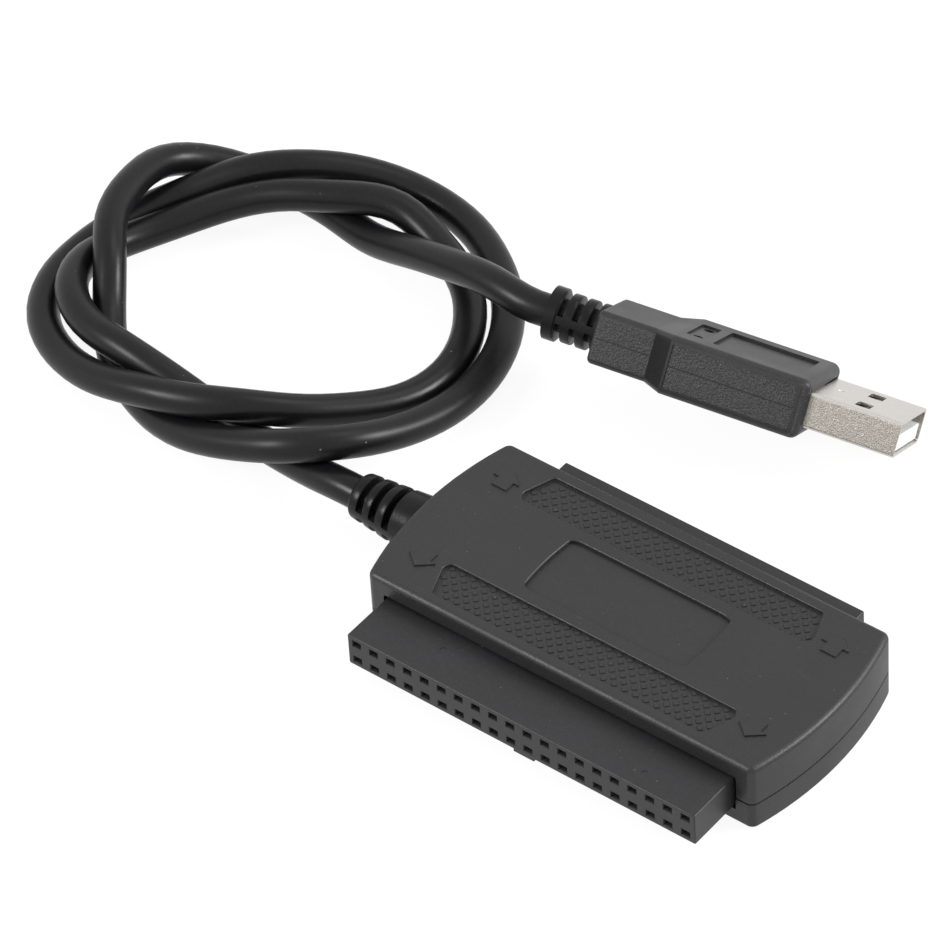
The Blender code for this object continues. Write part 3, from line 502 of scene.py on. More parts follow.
PLUG_NECK = MouldedPlastic("plug_neck", (0.006, 0.006, 0.0065), 0.4, specular=0.25)
PLATED_STEEL = SheetMetal("plated_steel", (0.57, 0.54, 0.51), 0.3, tarnish=0.05)
# Darker copy of the plated steel for the shell's sides: painted shade, with a fine speckle of real
# grain.
SHADED_SIDE_STEEL = SheetMetal(
    "shaded_side_steel", (0.43, 0.40, 0.36), 0.38, grain_mm=0.16, grain_depth_mm=0.06, tarnish=0.6,
    cloud_mm=0.15,
)
SPRING_STEEL = SheetMetal("spring_steel", (0.20, 0.16, 0.12), 0.4, tarnish=0.5)
TONGUE_PLASTIC = Insulation("tongue_plastic", (0.7, 0.7, 0.69), 0.5)
GOLD_PLATE = SheetMetal("gold_plate", (0.83, 0.62, 0.25), 0.28)
CRYSTAL_CAN = SheetMetal("crystal_can", (0.70, 0.70, 0.70), 0.3)
BOARD_LAMINATE = WovenLaminate("board_laminate", (0.02, 0.16, 0.07), (0.05, 0.24, 0.1))
CHIP_PLASTIC = MouldedPlastic("chip_plastic", (0.02, 0.02, 0.022), 0.5, scuff=0.1)
CAPACITOR_CERAMIC = MouldedPlastic("capacitor_ceramic", (0.42, 0.30, 0.18), 0.5, scuff=0.0)
WIRE_FINISHES = {
    "wire_red": (Insulation("wire_red", (0.60, 0.03, 0.03)), Slot.RED_WIRE),
    "wire_white": (Insulation("wire_white", (0.80, 0.80, 0.80)), Slot.WHITE_WIRE),
    "wire_green": (Insulation("wire_green", (0.03, 0.40, 0.08)), Slot.GREEN_WIRE),
    "wire_black": (Insulation("wire_black", (0.02, 0.02, 0.02)), Slot.BLACK_WIRE),
}


# Helpers for meshes, all in millimetres


def flat_face(bm: Mesh, corners: Sequence[Pair], height: float) -> Face:
    """Add one level face through a few corners, given in order."""
    return bm.faces.new([bm.verts.new((x, y, height)) for x, y in corners])


def round_corners(bm: Mesh, verts: Iterable[Vert], radius: float, segments: int = 5) -> None:
    """Round some corners of a flat face.

    Args:
        bm: Mesh that holds the face.
        verts: Corners to round.
        radius: How far the rounding runs along each side.
        segments: Steps of the arc.
    """
    bmesh.ops.bevel(
        bm, geom=list(verts), offset=radius, offset_type="OFFSET", segments=segments,
        profile=0.5, affect="VERTICES", material=-1,
    )


def round_edges(bm: Mesh, edges: Iterable[Edge], radius: float, segments: int = 3) -> None:
    """Round some edges.

    Args:
        bm: Mesh that holds the edges.
        edges: Iterable[Edge] to round.
        radius: Offset of the bevel.
        segments: Steps of the arc.
    """
    bmesh.ops.bevel(
        bm, geom=list(edges), offset=radius, offset_type="OFFSET", segments=segments,
        profile=0.5, affect="EDGES", material=-1, clamp_overlap=False,
    )


def grow_face(bm: Mesh, face: Face, shift: Point) -> Face:
    """Extrude a face.

    Args:
        bm: Mesh that holds the face.
        face: Face to extrude.
        shift: How far its copy moves.

    Returns:
        The face at the far end.
    """
    made = bmesh.ops.extrude_face_region(bm, geom=[face])["geom"]
    verts = [item for item in made if isinstance(item, Vert)]
    bmesh.ops.translate(bm, vec=shift, verts=verts)
    return next(item for item in made if isinstance(item, Face))


def box(low: Point, high: Point) -> Mesh:
    """A box between two corners.

    Args:
        low: Lowest corner.
        high: Highest corner.

    Returns:
        The mesh.
    """
    bm = bmesh.new()
    add_box(bm, low, high)
    return bm


def add_box(bm: Mesh, low: Point, high: Point) -> list[Vert]:
    """Add a box between two corners to a mesh.

    Args:
        bm: Mesh to add to.
        low: Lowest corner.
        high: Highest corner.

    Returns:
        The box's vertices.
    """
    size = [top - bottom for bottom, top in zip(low, high)]
    middle = [(top + bottom) / 2 for bottom, top in zip(low, high)]
    place = Matrix.Translation(middle) @ Matrix.Diagonal((*size, 1.0))
    return bmesh.ops.create_cube(bm, size=1.0, matrix=place)["verts"]


def add_drum(
    bm: Mesh, place: Matrix, radius: float, end_radius: float, length: float, sides: int = 48
) -> list[Vert]:
    """Add a round drum or taper that starts at a place and runs along its Z.

    Args:
        bm: Mesh to add to.
        place: Where it starts.
        radius: Radius at the start.
        end_radius: Radius at the end.
        length: How far it runs.
        sides: Number of sides.

    Returns:
        The drum's vertices.
    """
    middle = place @ Matrix.Translation((0.0, 0.0, length / 2))
    return bmesh.ops.create_cone(
        bm, cap_ends=True, segments=sides, radius1=radius, radius2=end_radius, depth=length,
        matrix=middle,
    )["verts"]


def edges_where(bm: Mesh, test: Callable[[Vector], bool], sharp_deg: float = 30.0) -> list[Edge]:
    """Sharp edges whose two ends pass a test.

    Args:
        bm: Mesh to look in.
        test: Says whether a point counts.
        sharp_deg: Least angle between an edge's faces.

    Returns:
        The edges.
    """
    found = []
    for edge in bm.edges:
        if len(edge.link_faces) == 2 and edge.calc_face_angle(0.0) > math.radians(sharp_deg):
            if all(test(vert.co) for vert in edge.verts):
                found.append(edge)
    return found


def as_object(name: str, bm: Mesh) -> bpy.types.Object:
    """Turn a mesh into an object of the scene and free it.

    Args:
        name: Name of the object.
        bm: Mesh to use.

    Returns:
        The object.
    """
    mesh = bpy.data.meshes.new(name)
    bm.to_mesh(mesh)
    bm.free()
    made = bpy.data.objects.new(name, mesh)
    bpy.context.scene.collection.objects.link(made)
    return made


def cut(body: Mesh, tool: Mesh, way: Cut = Cut.AWAY) -> Mesh:
    """Combine two solids with an exact Boolean and free them both.

    Args:
        body: Solid to work on.
        tool: Solid to cut away or to join.
        way: What the Boolean does.

    Returns:
        The result.
    """
    for solid in (body, tool):
        bmesh.ops.recalc_face_normals(solid, faces=solid.faces)
    target, cutter = as_object("work_body", body), as_object("work_tool", tool)
    change = target.modifiers.new("cut", "BOOLEAN")
    change.operation = way.value
    change.solver = "EXACT"
    change.object = cutter
    bpy.context.view_layer.update()
    graph = bpy.context.evaluated_depsgraph_get()
    result = bmesh.new()
    result.from_object(target, graph)
    for used in (target, cutter):
        mesh = used.data
        bpy.data.objects.remove(used, do_unlink=True)
        bpy.data.meshes.remove(mesh)
    bmesh.ops.remove_doubles(result, verts=result.verts, dist=MERGE_REACH)
    bmesh.ops.dissolve_degenerate(result, edges=result.edges, dist=MERGE_REACH)
    return result


def finish_piece(
    name: str, bm: Mesh, finishes: Sequence[bpy.types.Material],
    stands_for: Sequence[str] = (), place: Matrix | None = None,
) -> bpy.types.Object:
    """Turn a mesh into a finished piece that rides on the part.

    Args:
        name: Name of the piece.
        bm: Its mesh, in millimetres, which is freed.
        finishes: Its materials.
        stands_for: CAD nodes that it replaces.
        place: Turn and shift into the frame of the CAD, or None.

    Returns:
        The piece.
    """
    bmesh.ops.recalc_face_normals(bm, faces=bm.faces)
    bmesh.ops.transform(
        bm, matrix=Matrix.Scale(MM, 4) @ (place or Matrix.Identity(4)), verts=bm.verts
    )
    count = len(bm.faces)
    piece = as_object(name, bm)
    piece.data.shade_smooth()
    piece.data.set_sharp_from_angle(angle=SHARP_ANGLE)
    keep_flats = piece.modifiers.new("keep_flats", "WEIGHTED_NORMAL")
    keep_flats.keep_sharp = True
    for finish in finishes:
        piece.data.materials.append(finish)
    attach(piece, BODY)
    if stands_for:
        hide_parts(*stands_for)
    LOG.info("%s: %d faces", name, count)
    return piece


# Camera, floor and light


@dataclass(frozen=True)
class PhotoCamera:
    """The camera that took the photograph."""

    target: Point = (-34.626, 14.610, 0.0)
    azimuth_deg: float = 40.398
    elevation_deg: float = 43.698
    roll_deg: float = -3.653
    distance: float = 799.31
    lens: float = 247.28
    sensor: float = 36.0

    def place(self) -> bpy.types.Object:
        """Create the camera and make it the scene's.

        Returns:
            The camera.
        """
        around, up_angle, roll = (
            math.radians(value) for value in (self.azimuth_deg, self.elevation_deg, self.roll_deg)
        )
        back = Vector((
            math.sin(around) * math.cos(up_angle),
            -math.cos(around) * math.cos(up_angle),
            math.sin(up_angle),
        ))
        level = Vector((math.cos(around), math.sin(around), 0.0))
        upright = back.cross(level)
        right = level * math.cos(roll) + upright * math.sin(roll)
        up = upright * math.cos(roll) - level * math.sin(roll)
        data = bpy.data.cameras.new("photo_camera")
        data.lens = self.lens
        data.sensor_width = self.sensor
        data.clip_start, data.clip_end = 0.05, 20.0
        camera = bpy.data.objects.new("photo_camera", data)
        turn = Matrix((right, up, back)).transposed()
        spot = (Vector(self.target) + back * self.distance) * MM
        camera.matrix_world = Matrix.Translation(spot) @ turn.to_4x4()
        bpy.context.scene.collection.objects.link(camera)
        bpy.context.scene.camera = camera
        return camera


@dataclass(frozen=True)
class Softbox:
    """A square studio lamp aimed at the middle of the object."""

    name: str
    spot: Point
    size: float
    power: float
    aim: Point = (-30.0, 10.0, 5.0)

    def place(self) -> bpy.types.Object:
        """Create the lamp.

        Returns:
            The lamp.
        """
        data = bpy.data.lights.new(self.name, "AREA")
        data.shape = "SQUARE"
        data.size = self.size * MM
        data.energy = self.power
        lamp = bpy.data.objects.new(self.name, data)
        away = Vector(self.aim) - Vector(self.spot)
        turn = away.to_track_quat("-Z", "Y").to_matrix().to_4x4()
        lamp.matrix_world = Matrix.Translation(Vector(self.spot) * MM) @ turn
        bpy.context.scene.collection.objects.link(lamp)
        return lamp


@dataclass(frozen=True)
class Studio:
    """White floor, white surroundings and soft lamps."""

    floor_half: float = 3000.0
    floor_drop: float = 0.02
    shadow_share: float = 0.12
    shadow_weight: float = 0.7
    floor_colour: Colour = (0.9, 0.9, 0.9)
    surround_light: float = 0.6
    lamps: tuple[Softbox, ...] = (
        Softbox("key_lamp", (640.0, 480.0, 450.0), 310.0, 7.6),
        Softbox("back_lamp", (120.0, 420.0, 800.0), 420.0, 0.9),
        Softbox("front_lamp", (-420.0, -600.0, 500.0), 260.0, 4.6),
    )

    def seen_share(self, book: NodeBook) -> Output:
        """Share that is 1 for camera, glossy and transmission rays.

        Args:
            book: Nodes of the material or the world.

        Returns:
            The share.
        """
        path = book.add("LightPath")
        seen = path.outputs["Is Camera Ray"]
        for ray in ("Is Glossy Ray", "Is Transmission Ray"):
            seen = book.maths("MAXIMUM", seen, path.outputs[ray])
        return seen

    def place_floor(self) -> bpy.types.Object:
        """Create the floor, which shows white and keeps a soft shadow.

        Returns:
            The floor.
        """
        bm = bmesh.new()
        bmesh.ops.create_grid(bm, x_segments=1, y_segments=1, size=self.floor_half * MM)
        bmesh.ops.translate(bm, vec=(0.0, 0.0, -self.floor_drop * MM), verts=bm.verts)
        floor = as_object("studio_floor", bm)
        book = NodeBook("studio_floor")
        plain = book.add("BsdfDiffuse", Color=self.floor_colour)
        shaded = book.add("BsdfDiffuse", Color=(self.shadow_share,) * 3)
        strength = 1.0 - self.shadow_weight * self.shadow_share
        white = book.add("Emission", Color=(1.0, 1.0, 1.0), Strength=strength)
        both = book.add("AddShader")
        book.feed(both, 0, shaded.outputs[0])
        book.feed(both, 1, white.outputs[0])
        mixed = book.add("MixShader")
        book.feed(mixed, 0, self.seen_share(book))
        book.feed(mixed, 1, plain.outputs[0])
        book.feed(mixed, 2, both.outputs[0])
        book.tree.links.new(mixed.outputs[0], book.output.inputs[0])
        floor.data.materials.append(book.material)
        return floor

    def place_surround(self) -> None:
        """Make the world white to look at, and a plain even light."""
        world = bpy.data.worlds.new("studio_world")
        world.use_nodes = True
        tree = world.node_tree
        tree.nodes.clear()
        path = tree.nodes.new("ShaderNodeLightPath")
        seen = path.outputs["Is Camera Ray"]
        for ray in ("Is Glossy Ray", "Is Transmission Ray"):
            larger = tree.nodes.new("ShaderNodeMath")
            larger.operation = "MAXIMUM"
            tree.links.new(seen, larger.inputs[0])
            tree.links.new(path.outputs[ray], larger.inputs[1])
            seen = larger.outputs[0]
        strength = tree.nodes.new("ShaderNodeMapRange")
        strength.inputs[3].default_value = self.surround_light
        strength.inputs[4].default_value = 1.0
        tree.links.new(seen, strength.inputs[0])
        light = tree.nodes.new("ShaderNodeBackground")
        light.inputs[0].default_value = (1.0, 1.0, 1.0, 1.0)
        tree.links.new(strength.outputs[0], light.inputs[1])
        out = tree.nodes.new("ShaderNodeOutputWorld")
        tree.links.new(light.outputs[0], out.inputs[0])
        bpy.context.scene.world = world

    def place(self) -> None:
        """Set up the studio."""
        self.place_floor()
        self.place_surround()
        for lamp in self.lamps:
            lamp.place()
        bpy.context.scene.view_settings.view_transform = "Standard"
        LOG.info("studio: floor, surroundings and %d lamps", len(self.lamps))


# The object


@dataclass(frozen=True)
class Housing:
    """The two shells of the housing, with grip panels, studs and arrows on the upper one."""

    half_length: float = 28.17
    half_width: float = 13.78
    height: float = 9.86
    end_bulge: float = 2.1
    end_steps: int = 16
    corner: float = 0.8
    least_corner: float = 0.3
    wall: float = 1.4
    floor: float = 1.2
    parting_height: float = 3.95
    seam_gap: float = 0.14
    top_round: float = 0.77
    bottom_round: float = 0.5
    rim_round: float = 0.22
    seam_round: float = 0.1
    recess_depth: float = 0.5
    panel_corners: tuple[Pair, ...] = ((20.9, 6.8), (21.4, 7.75), (19.8, 12.0))
    panel_corner_round: float = 0.35
    panel_floor_round: float = 0.1
    label_half_length: float = 11.7
    label_half_width: float = 4.95
    label_bulge: float = 0.35
    label_corner: float = 1.7
    stud_radius: float = 0.5
    stud_top_radius: float = 0.43
    stud_height: float = 0.1
    stud_step: Pair = (0.775, 0.83)
    stud_rows: int = 6
    stud_columns: int = 27
    stud_sides: int = 4
    stud_shift: float = -0.2
    stud_margin: float = 0.9
    stud_sunk: float = 0.03
    arrow_x: float = 24.25
    arrow_tip: float = 9.75
    arrow_shoulder: float = 8.15
    arrow_tail: float = 6.65
    arrow_half: float = 1.95
    arrow_shaft_half: float = 1.1
    arrow_height: float = 0.2
    arrow_sunk: float = 0.05
    arrow_round: float = 0.05
    window_halves: Pair = (25.9, 22.52)
    window_tops: Pair = (7.46, 7.54)
    window_corner: float = 0.4
    seat_halves: Pair = (25.8, 22.42)
    seat_bottoms: Pair = (2.11, 2.89)
    relief_hole_radius: float = 3.1
    relief_hole_past: float = 1.5
    relief_hole_length: float = 6.0
    opening_past: float = 0.6

    def plan(self, bm: Mesh, sizes: PlanSizes, height: float) -> Face:
        """Add a face with straight long sides and ends that bow outwards.

        Args:
            bm: Mesh to add to.
            sizes: Half length, half width, bulge and corner rounding.
            height: Z of the face.

        Returns:
            The face.
        """
        half_length, half_width, bulge, corner = sizes
        radius = (half_width**2 + bulge**2) / (2 * bulge)
        sweep = 2 * math.asin(half_width / radius)
        runs = []
        for side in (1, -1):
            start = bm.verts.new((side * half_length, -side * half_width, height))
            before = set(bm.verts)
            bmesh.ops.spin(
                bm, geom=[start], cent=(side * (half_length + bulge - radius), 0.0, height),
                axis=(0.0, 0.0, 1.0), angle=sweep, steps=self.end_steps, use_merge=False,
                use_duplicate=False,
            )
            fresh = [vert for vert in bm.verts if vert not in before]
            end = next(vert for vert in fresh if len(vert.link_edges) == 1)
            runs.append((start, end, [start, *fresh]))
        (first, first_end, right), (second, second_end, left) = runs
        bm.edges.new((first_end, second))
        bm.edges.new((second_end, first))
        around = {edge for vert in (*right, *left) for edge in vert.link_edges}
        face = bmesh.ops.contextual_create(bm, geom=list(around))["faces"][0]
        round_corners(bm, (first, first_end, second, second_end), corner, 6)
        return next(
            face for face in bm.faces
            if all(abs(vert.co.z - height) < TOLERANCE for vert in face.verts)
        )

    def block(self, sizes: PlanSizes, bottom: float, top: float) -> Mesh:
        """A solid with the bowed plan between two heights.

        Args:
            sizes: Half length, half width, bulge and corner rounding.
            bottom: Lowest Z.
            top: Highest Z.

        Returns:
            The mesh.
        """
        bm = bmesh.new()
        grow_face(bm, self.plan(bm, sizes, bottom), (0.0, 0.0, top - bottom))
        return bm

    def outer(self, inset: float = 0.0) -> PlanSizes:
        """Plan sizes of the housing, drawn in by an inset.

        Args:
            inset: How far each wall moves inwards.

        Returns:
            Half length, half width, bulge and corner rounding.
        """
        corner = max(self.corner - inset, self.least_corner)
        return self.half_length - inset, self.half_width - inset, self.end_bulge, corner

    def window_tool(self, side: Side) -> Mesh:
        """Cutter of a socket's window in the upper shell.

        Args:
            side: Which long side.

        Returns:
            The cutter.
        """
        half, top = self.window_halves[side is Side.FAR], self.window_tops[side is Side.FAR]
        inner = self.half_width - self.wall - self.opening_past
        bm = box(
            (-half, inner, self.parting_height - CUT_PAST),
            (half, self.half_width + CUT_PAST, top),
        )
        upper = [
            edge for edge in bm.edges
            if all(vert.co.z > top - TOLERANCE for vert in edge.verts)
            and abs(edge.verts[0].co.x - edge.verts[1].co.x) < TOLERANCE
        ]
        round_edges(bm, upper, self.window_corner, 6)
        bmesh.ops.scale(bm, vec=(1.0, side.value, 1.0), verts=bm.verts)
        return bm

    def panel_tool(self) -> Mesh:
        """Cutter of the two grip panels.

        Returns:
            The cutter.
        """
        bm = bmesh.new()
        floor = self.height - self.recess_depth
        for side in Side:
            right = [(x, side.value * y) for x, y in self.panel_corners]
            corners = right + [(-x, y) for x, y in reversed(right)]
            face = flat_face(bm, corners, floor)
            round_corners(bm, face.verts, self.panel_corner_round, 4)
        for face in list(bm.faces):
            rim = list(face.edges)
            grow_face(bm, face, (0.0, 0.0, 2 * CUT_PAST))
            round_edges(bm, rim, self.panel_floor_round, 2)
        return bm

    def label_tool(self) -> Mesh:
        """Cutter of the shallow recess in the middle of the top."""
        sizes = (self.label_half_length, self.label_half_width, self.label_bulge, self.label_corner)
        return self.block(sizes, self.height - self.recess_depth, self.height + CUT_PAST)

    def relief_tool(self) -> Mesh:
        """Cutter of the round opening for the strain relief.

        Returns:
            The cutter.
        """
        bm = bmesh.new()
        start = -(self.half_length + self.end_bulge + self.relief_hole_past)
        spot = (start, 0.0, CORD_AXIS_HEIGHT)
        along = Matrix.Translation(spot) @ Matrix.Rotation(math.radians(90), 4, "Y")
        radius = self.relief_hole_radius
        add_drum(bm, along, radius, radius, self.relief_hole_length)
        return bm

    def build_upper(self) -> Mesh:
        """Model the upper shell.

        Returns:
            The mesh.
        """
        bottom = self.parting_height + self.seam_gap / 2
        bm = self.block(self.outer(), bottom, self.height)
        top = edges_where(bm, lambda co: co.z > self.height - TOLERANCE)
        round_edges(bm, top, self.top_round, 6)
        inside = self.block(self.outer(self.wall), bottom - CUT_PAST, self.height - self.wall)
        bm = cut(bm, inside)
        for side in Side:
            bm = cut(bm, self.window_tool(side))
        bm = cut(bm, self.relief_tool())
        bm = cut(bm, self.panel_tool())
        bm = cut(bm, self.label_tool())
        rims = edges_where(bm, lambda co: co.z > self.height - TOLERANCE, CREASE_DEG)
        round_edges(bm, rims, self.rim_round, 3)
        seam = edges_where(bm, lambda co: co.z < bottom + TOLERANCE, CREASE_DEG)
        round_edges(bm, seam, self.seam_round, 2)
        return bm

    def build_lower(self) -> Mesh:
        """Model the lower shell.

        Returns:
            The mesh.
        """
        top = self.parting_height - self.seam_gap / 2
        bm = self.block(self.outer(), 0.0, top)
        base = edges_where(bm, lambda co: co.z < TOLERANCE)
        round_edges(bm, base, self.bottom_round, 4)
        bm = cut(bm, self.block(self.outer(self.wall), self.floor, top + CUT_PAST))
        inner = self.half_width - self.wall - self.opening_past
        for side in Side:
            half, low = self.seat_halves[side is Side.FAR], self.seat_bottoms[side is Side.FAR]
            tool = box((-half, inner, low), (half, self.half_width + CUT_PAST, top + CUT_PAST))
            bmesh.ops.scale(tool, vec=(1.0, side.value, 1.0), verts=tool.verts)
            bm = cut(bm, tool)
        bm = cut(bm, self.relief_tool())
        seam = edges_where(bm, lambda co: co.z > top - TOLERANCE, CREASE_DEG)
        round_edges(bm, seam, self.seam_round, 2)
        return bm

    def build_studs(self) -> Mesh:
        """Model the raised studs on the floors of the grip panels.

        Returns:
            The mesh.
        """
        bm = bmesh.new()
        floor = self.height - self.recess_depth - self.stud_sunk
        height = self.stud_height + self.stud_sunk
        step_x, step_y = self.stud_step
        middle_y = (self.panel_corners[0][1] + self.panel_corners[2][1]) / 2 + self.stud_shift
        for side in Side:
            for row in range(self.stud_rows):
                off_y = (row - (self.stud_rows - 1) / 2) * step_y
                shift = step_x * (row % 2)
                for column in range(self.stud_columns):
                    x = (column - (self.stud_columns - 1) / 2) * 2 * step_x + shift - step_x / 2
                    y = middle_y + off_y
                    if abs(x) > self.panel_reach(y) - self.stud_radius * self.stud_margin:
                        continue
                    place = Matrix.Translation((x, side.value * y, floor))
                    add_drum(
                        bm, place, self.stud_radius, self.stud_top_radius, height, self.stud_sides
                    )
        return bm

    def panel_reach(self, y: float) -> float:
        """Half length of a grip panel at a distance from the middle.

        Args:
            y: Distance from the middle of the housing.

        Returns:
            The half length.
        """
        ys = [corner[1] for corner in self.panel_corners]
        xs = [corner[0] for corner in self.panel_corners]
        return float(np.interp(y, ys, xs))

    def build_arrows(self) -> Mesh:
        """Model the four raised arrows at the corners of the top.

        Returns:
            The mesh.
        """
        bm = bmesh.new()
        half = (
            (0.0, self.arrow_tip), (self.arrow_half, self.arrow_shoulder),
            (self.arrow_shaft_half, self.arrow_shoulder), (self.arrow_shaft_half, self.arrow_tail),
        )
        outline = [*half, *[(-x, y) for x, y in reversed(half[1:])]]
        base = self.height - self.arrow_sunk
        for side in Side:
            for end in (-1, 1):
                corners = [(end * self.arrow_x + x, side.value * y) for x, y in outline]
                face = flat_face(bm, corners, base)
                top = grow_face(bm, face, (0.0, 0.0, self.arrow_height + self.arrow_sunk))
                round_edges(bm, list(top.edges), self.arrow_round, 2)
        return bm

    def dress(self) -> None:
        """Build the housing's pieces and give them their finish."""
        plastic = HOUSING_PLASTIC.material()
        finish_piece("upper_case", self.build_upper(), [plastic], ("upper_shell",))
        finish_piece("lower_case", self.build_lower(), [plastic], ("lower_shell",))
        finish_piece("grip_studs", self.build_studs(), [plastic])
        finish_piece("direction_arrows", self.build_arrows(), [plastic])


@dataclass(frozen=True)
class SocketBlock:
    """A two-row socket with chamfered mouths to its contact chambers."""

    name: str
    node: str
    side: Side
    columns: int
    pitch: float
    end_margin: float
    height: float
    middle_height: float
    front: float
    depth: float
    mouth: Pair = (1.35, 1.1)
    mouth_taper: float = 0.2
    mouth_depth: float = 0.35
    chamber_depth: float = 3.2
    edge_round: float = 0.18
    key_x: float = 0.35
    key_width: float = 0.0
    key_drop: float = 0.9
    key_length: float = 6.0
    key_set_back: float = 0.3
    key_sunk: float = 0.3
    key_round: float = 0.25
    marks: tuple[Pair, ...] = ()
    mark_radius: float = 0.42
    mark_depth: float = 0.06
    cell_inset: float = 0.3
    step_inset: float = 0.02

    @property
    def half_length(self) -> float:
        """Half of the socket's length."""
        return (self.columns - 1) * self.pitch / 2 + self.end_margin

    def build(self) -> Mesh:
        """Model the block from its front face.

        Returns:
            The mesh.
        """
        bm = bmesh.new()
        half_grid = self.columns * self.pitch / 2
        bmesh.ops.create_grid(bm, x_segments=self.columns, y_segments=2, size=1.0)
        stretch = Matrix.Diagonal((half_grid, self.height / 2, 1.0, 1.0))
        bmesh.ops.transform(bm, matrix=stretch, verts=bm.verts)
        for vert in bm.verts:
            if abs(vert.co.x) > half_grid - TOLERANCE:
                vert.co.x = math.copysign(self.half_length, vert.co.x)
        cells = list(bm.faces)
        self.sink_mouths(bm, cells)
        rim = [edge for edge in bm.edges if edge.is_boundary]
        made = bmesh.ops.extrude_edge_only(bm, edges=rim)["geom"]
        back = [item for item in made if isinstance(item, Vert)]
        bmesh.ops.translate(bm, vec=(0.0, 0.0, -self.depth), verts=back)
        open_rim = [edge for edge in bm.edges if edge.is_boundary]
        bmesh.ops.contextual_create(bm, geom=open_rim)
        outer = [
            edge for edge in edges_where(bm, self.on_outside, CORNER_DEG)
            if all(self.on_outside(vert.co) for vert in edge.verts)
        ]
        round_edges(bm, outer, self.edge_round, 3)
        return bm

    def on_outside(self, co: Vector) -> bool:
        """Whether a point lies on the block's long or short sides."""
        return abs(co.x) > self.half_length - TOLERANCE or abs(co.y) > self.height / 2 - TOLERANCE

    def sink_mouths(self, bm: Mesh, cells: list[Face]) -> None:
        """Sink a chamfered mouth and a chamber into each cell of the front.

        Args:
            bm: Mesh of the block.
            cells: Faces of the front.
        """
        for cell in cells:
            centre = cell.calc_center_median()
            column = round((centre.x / self.pitch) + (self.columns - 1) / 2)
            middle = Vector(((column - (self.columns - 1) / 2) * self.pitch, 0.0, 0.0))
            middle.y = math.copysign(self.pitch / 2, centre.y)
            bmesh.ops.inset_individual(
                bm, faces=[cell], thickness=self.cell_inset, use_even_offset=True
            )
            for index, (size, sink) in enumerate((
                (self.mouth, 0.0),
                (tuple(value - 2 * self.mouth_taper for value in self.mouth), self.mouth_depth),
                (None, self.chamber_depth),
            )):
                if index:
                    bmesh.ops.inset_individual(bm, faces=[cell], thickness=self.step_inset)
                self.shape_cell(cell, middle, size, sink)

    def shape_cell(
        self, cell: Face, middle: Vector, size: tuple[float, ...] | None, sink: float
    ) -> None:
        """Give a cell's face its size and depth.

        Args:
            cell: The face.
            middle: Middle of the chamber.
            size: Width and height, or None to keep them.
            sink: How far it lies behind the front.
        """
        centre = cell.calc_center_median()
        for vert in cell.verts:
            if size:
                vert.co.x = middle.x + math.copysign(size[0] / 2, vert.co.x - centre.x)
                vert.co.y = middle.y + math.copysign(size[1] / 2, vert.co.y - centre.y)
            vert.co.z = -sink

    def add_key_and_marks(self, bm: Mesh) -> Mesh:
        """Add the key below the block and the shallow ejector marks on top.

        Args:
            bm: The block, in its place.

        Returns:
            The finished block.
        """
        bottom = self.middle_height - self.height / 2
        if self.key_width:
            half, start = self.key_width / 2, self.front + self.key_set_back
            key = box(
                (self.key_x - half, start, bottom - self.key_drop),
                (self.key_x + half, self.front + self.key_length, bottom + self.key_sunk),
            )
            level = bottom - self.key_drop / 2
            low = [edge for edge in key.edges if all(vert.co.z < level for vert in edge.verts)]
            round_edges(key, low, self.key_round, 3)
            bm = cut(bm, key, Cut.JOIN)
        top = self.middle_height + self.height / 2
        for x, y in self.marks:
            tool = bmesh.new()
            place = Matrix.Translation((x, y, top - self.mark_depth))
            add_drum(tool, place, self.mark_radius, self.mark_radius, CUT_PAST)
            bm = cut(bm, tool)
        return bm

    def dress(self, plastic: bpy.types.Material) -> None:
        """Build the socket and give it its finish.

        Args:
            plastic: Material of the block.
        """
        bm = self.build()
        bmesh.ops.recalc_face_normals(bm, faces=bm.faces)
        stand = Matrix.Rotation(math.radians(90 if self.side is Side.NEAR else -90), 4, "X")
        shift = Matrix.Translation((0.0, self.front, self.middle_height))
        bmesh.ops.transform(bm, matrix=shift @ stand, verts=bm.verts)
        bm = self.add_key_and_marks(bm)
        finish_piece(self.name, bm, [plastic], (self.node,))


SOCKETS = (
    SocketBlock(
        "socket_40", "socket_40way", Side.NEAR, columns=20, pitch=2.54, end_margin=1.37,
        height=4.7, middle_height=4.76, front=-21.24, depth=8.5, key_width=3.0,
        marks=((-14.6, -16.7), (16.7, -19.0)),
    ),
    SocketBlock(
        "socket_44", "socket_44way", Side.FAR, columns=22, pitch=2.0, end_margin=1.12,
        height=4.0, middle_height=5.19, front=17.05, depth=4.3, mouth=(1.1, 0.95),
    ),
)


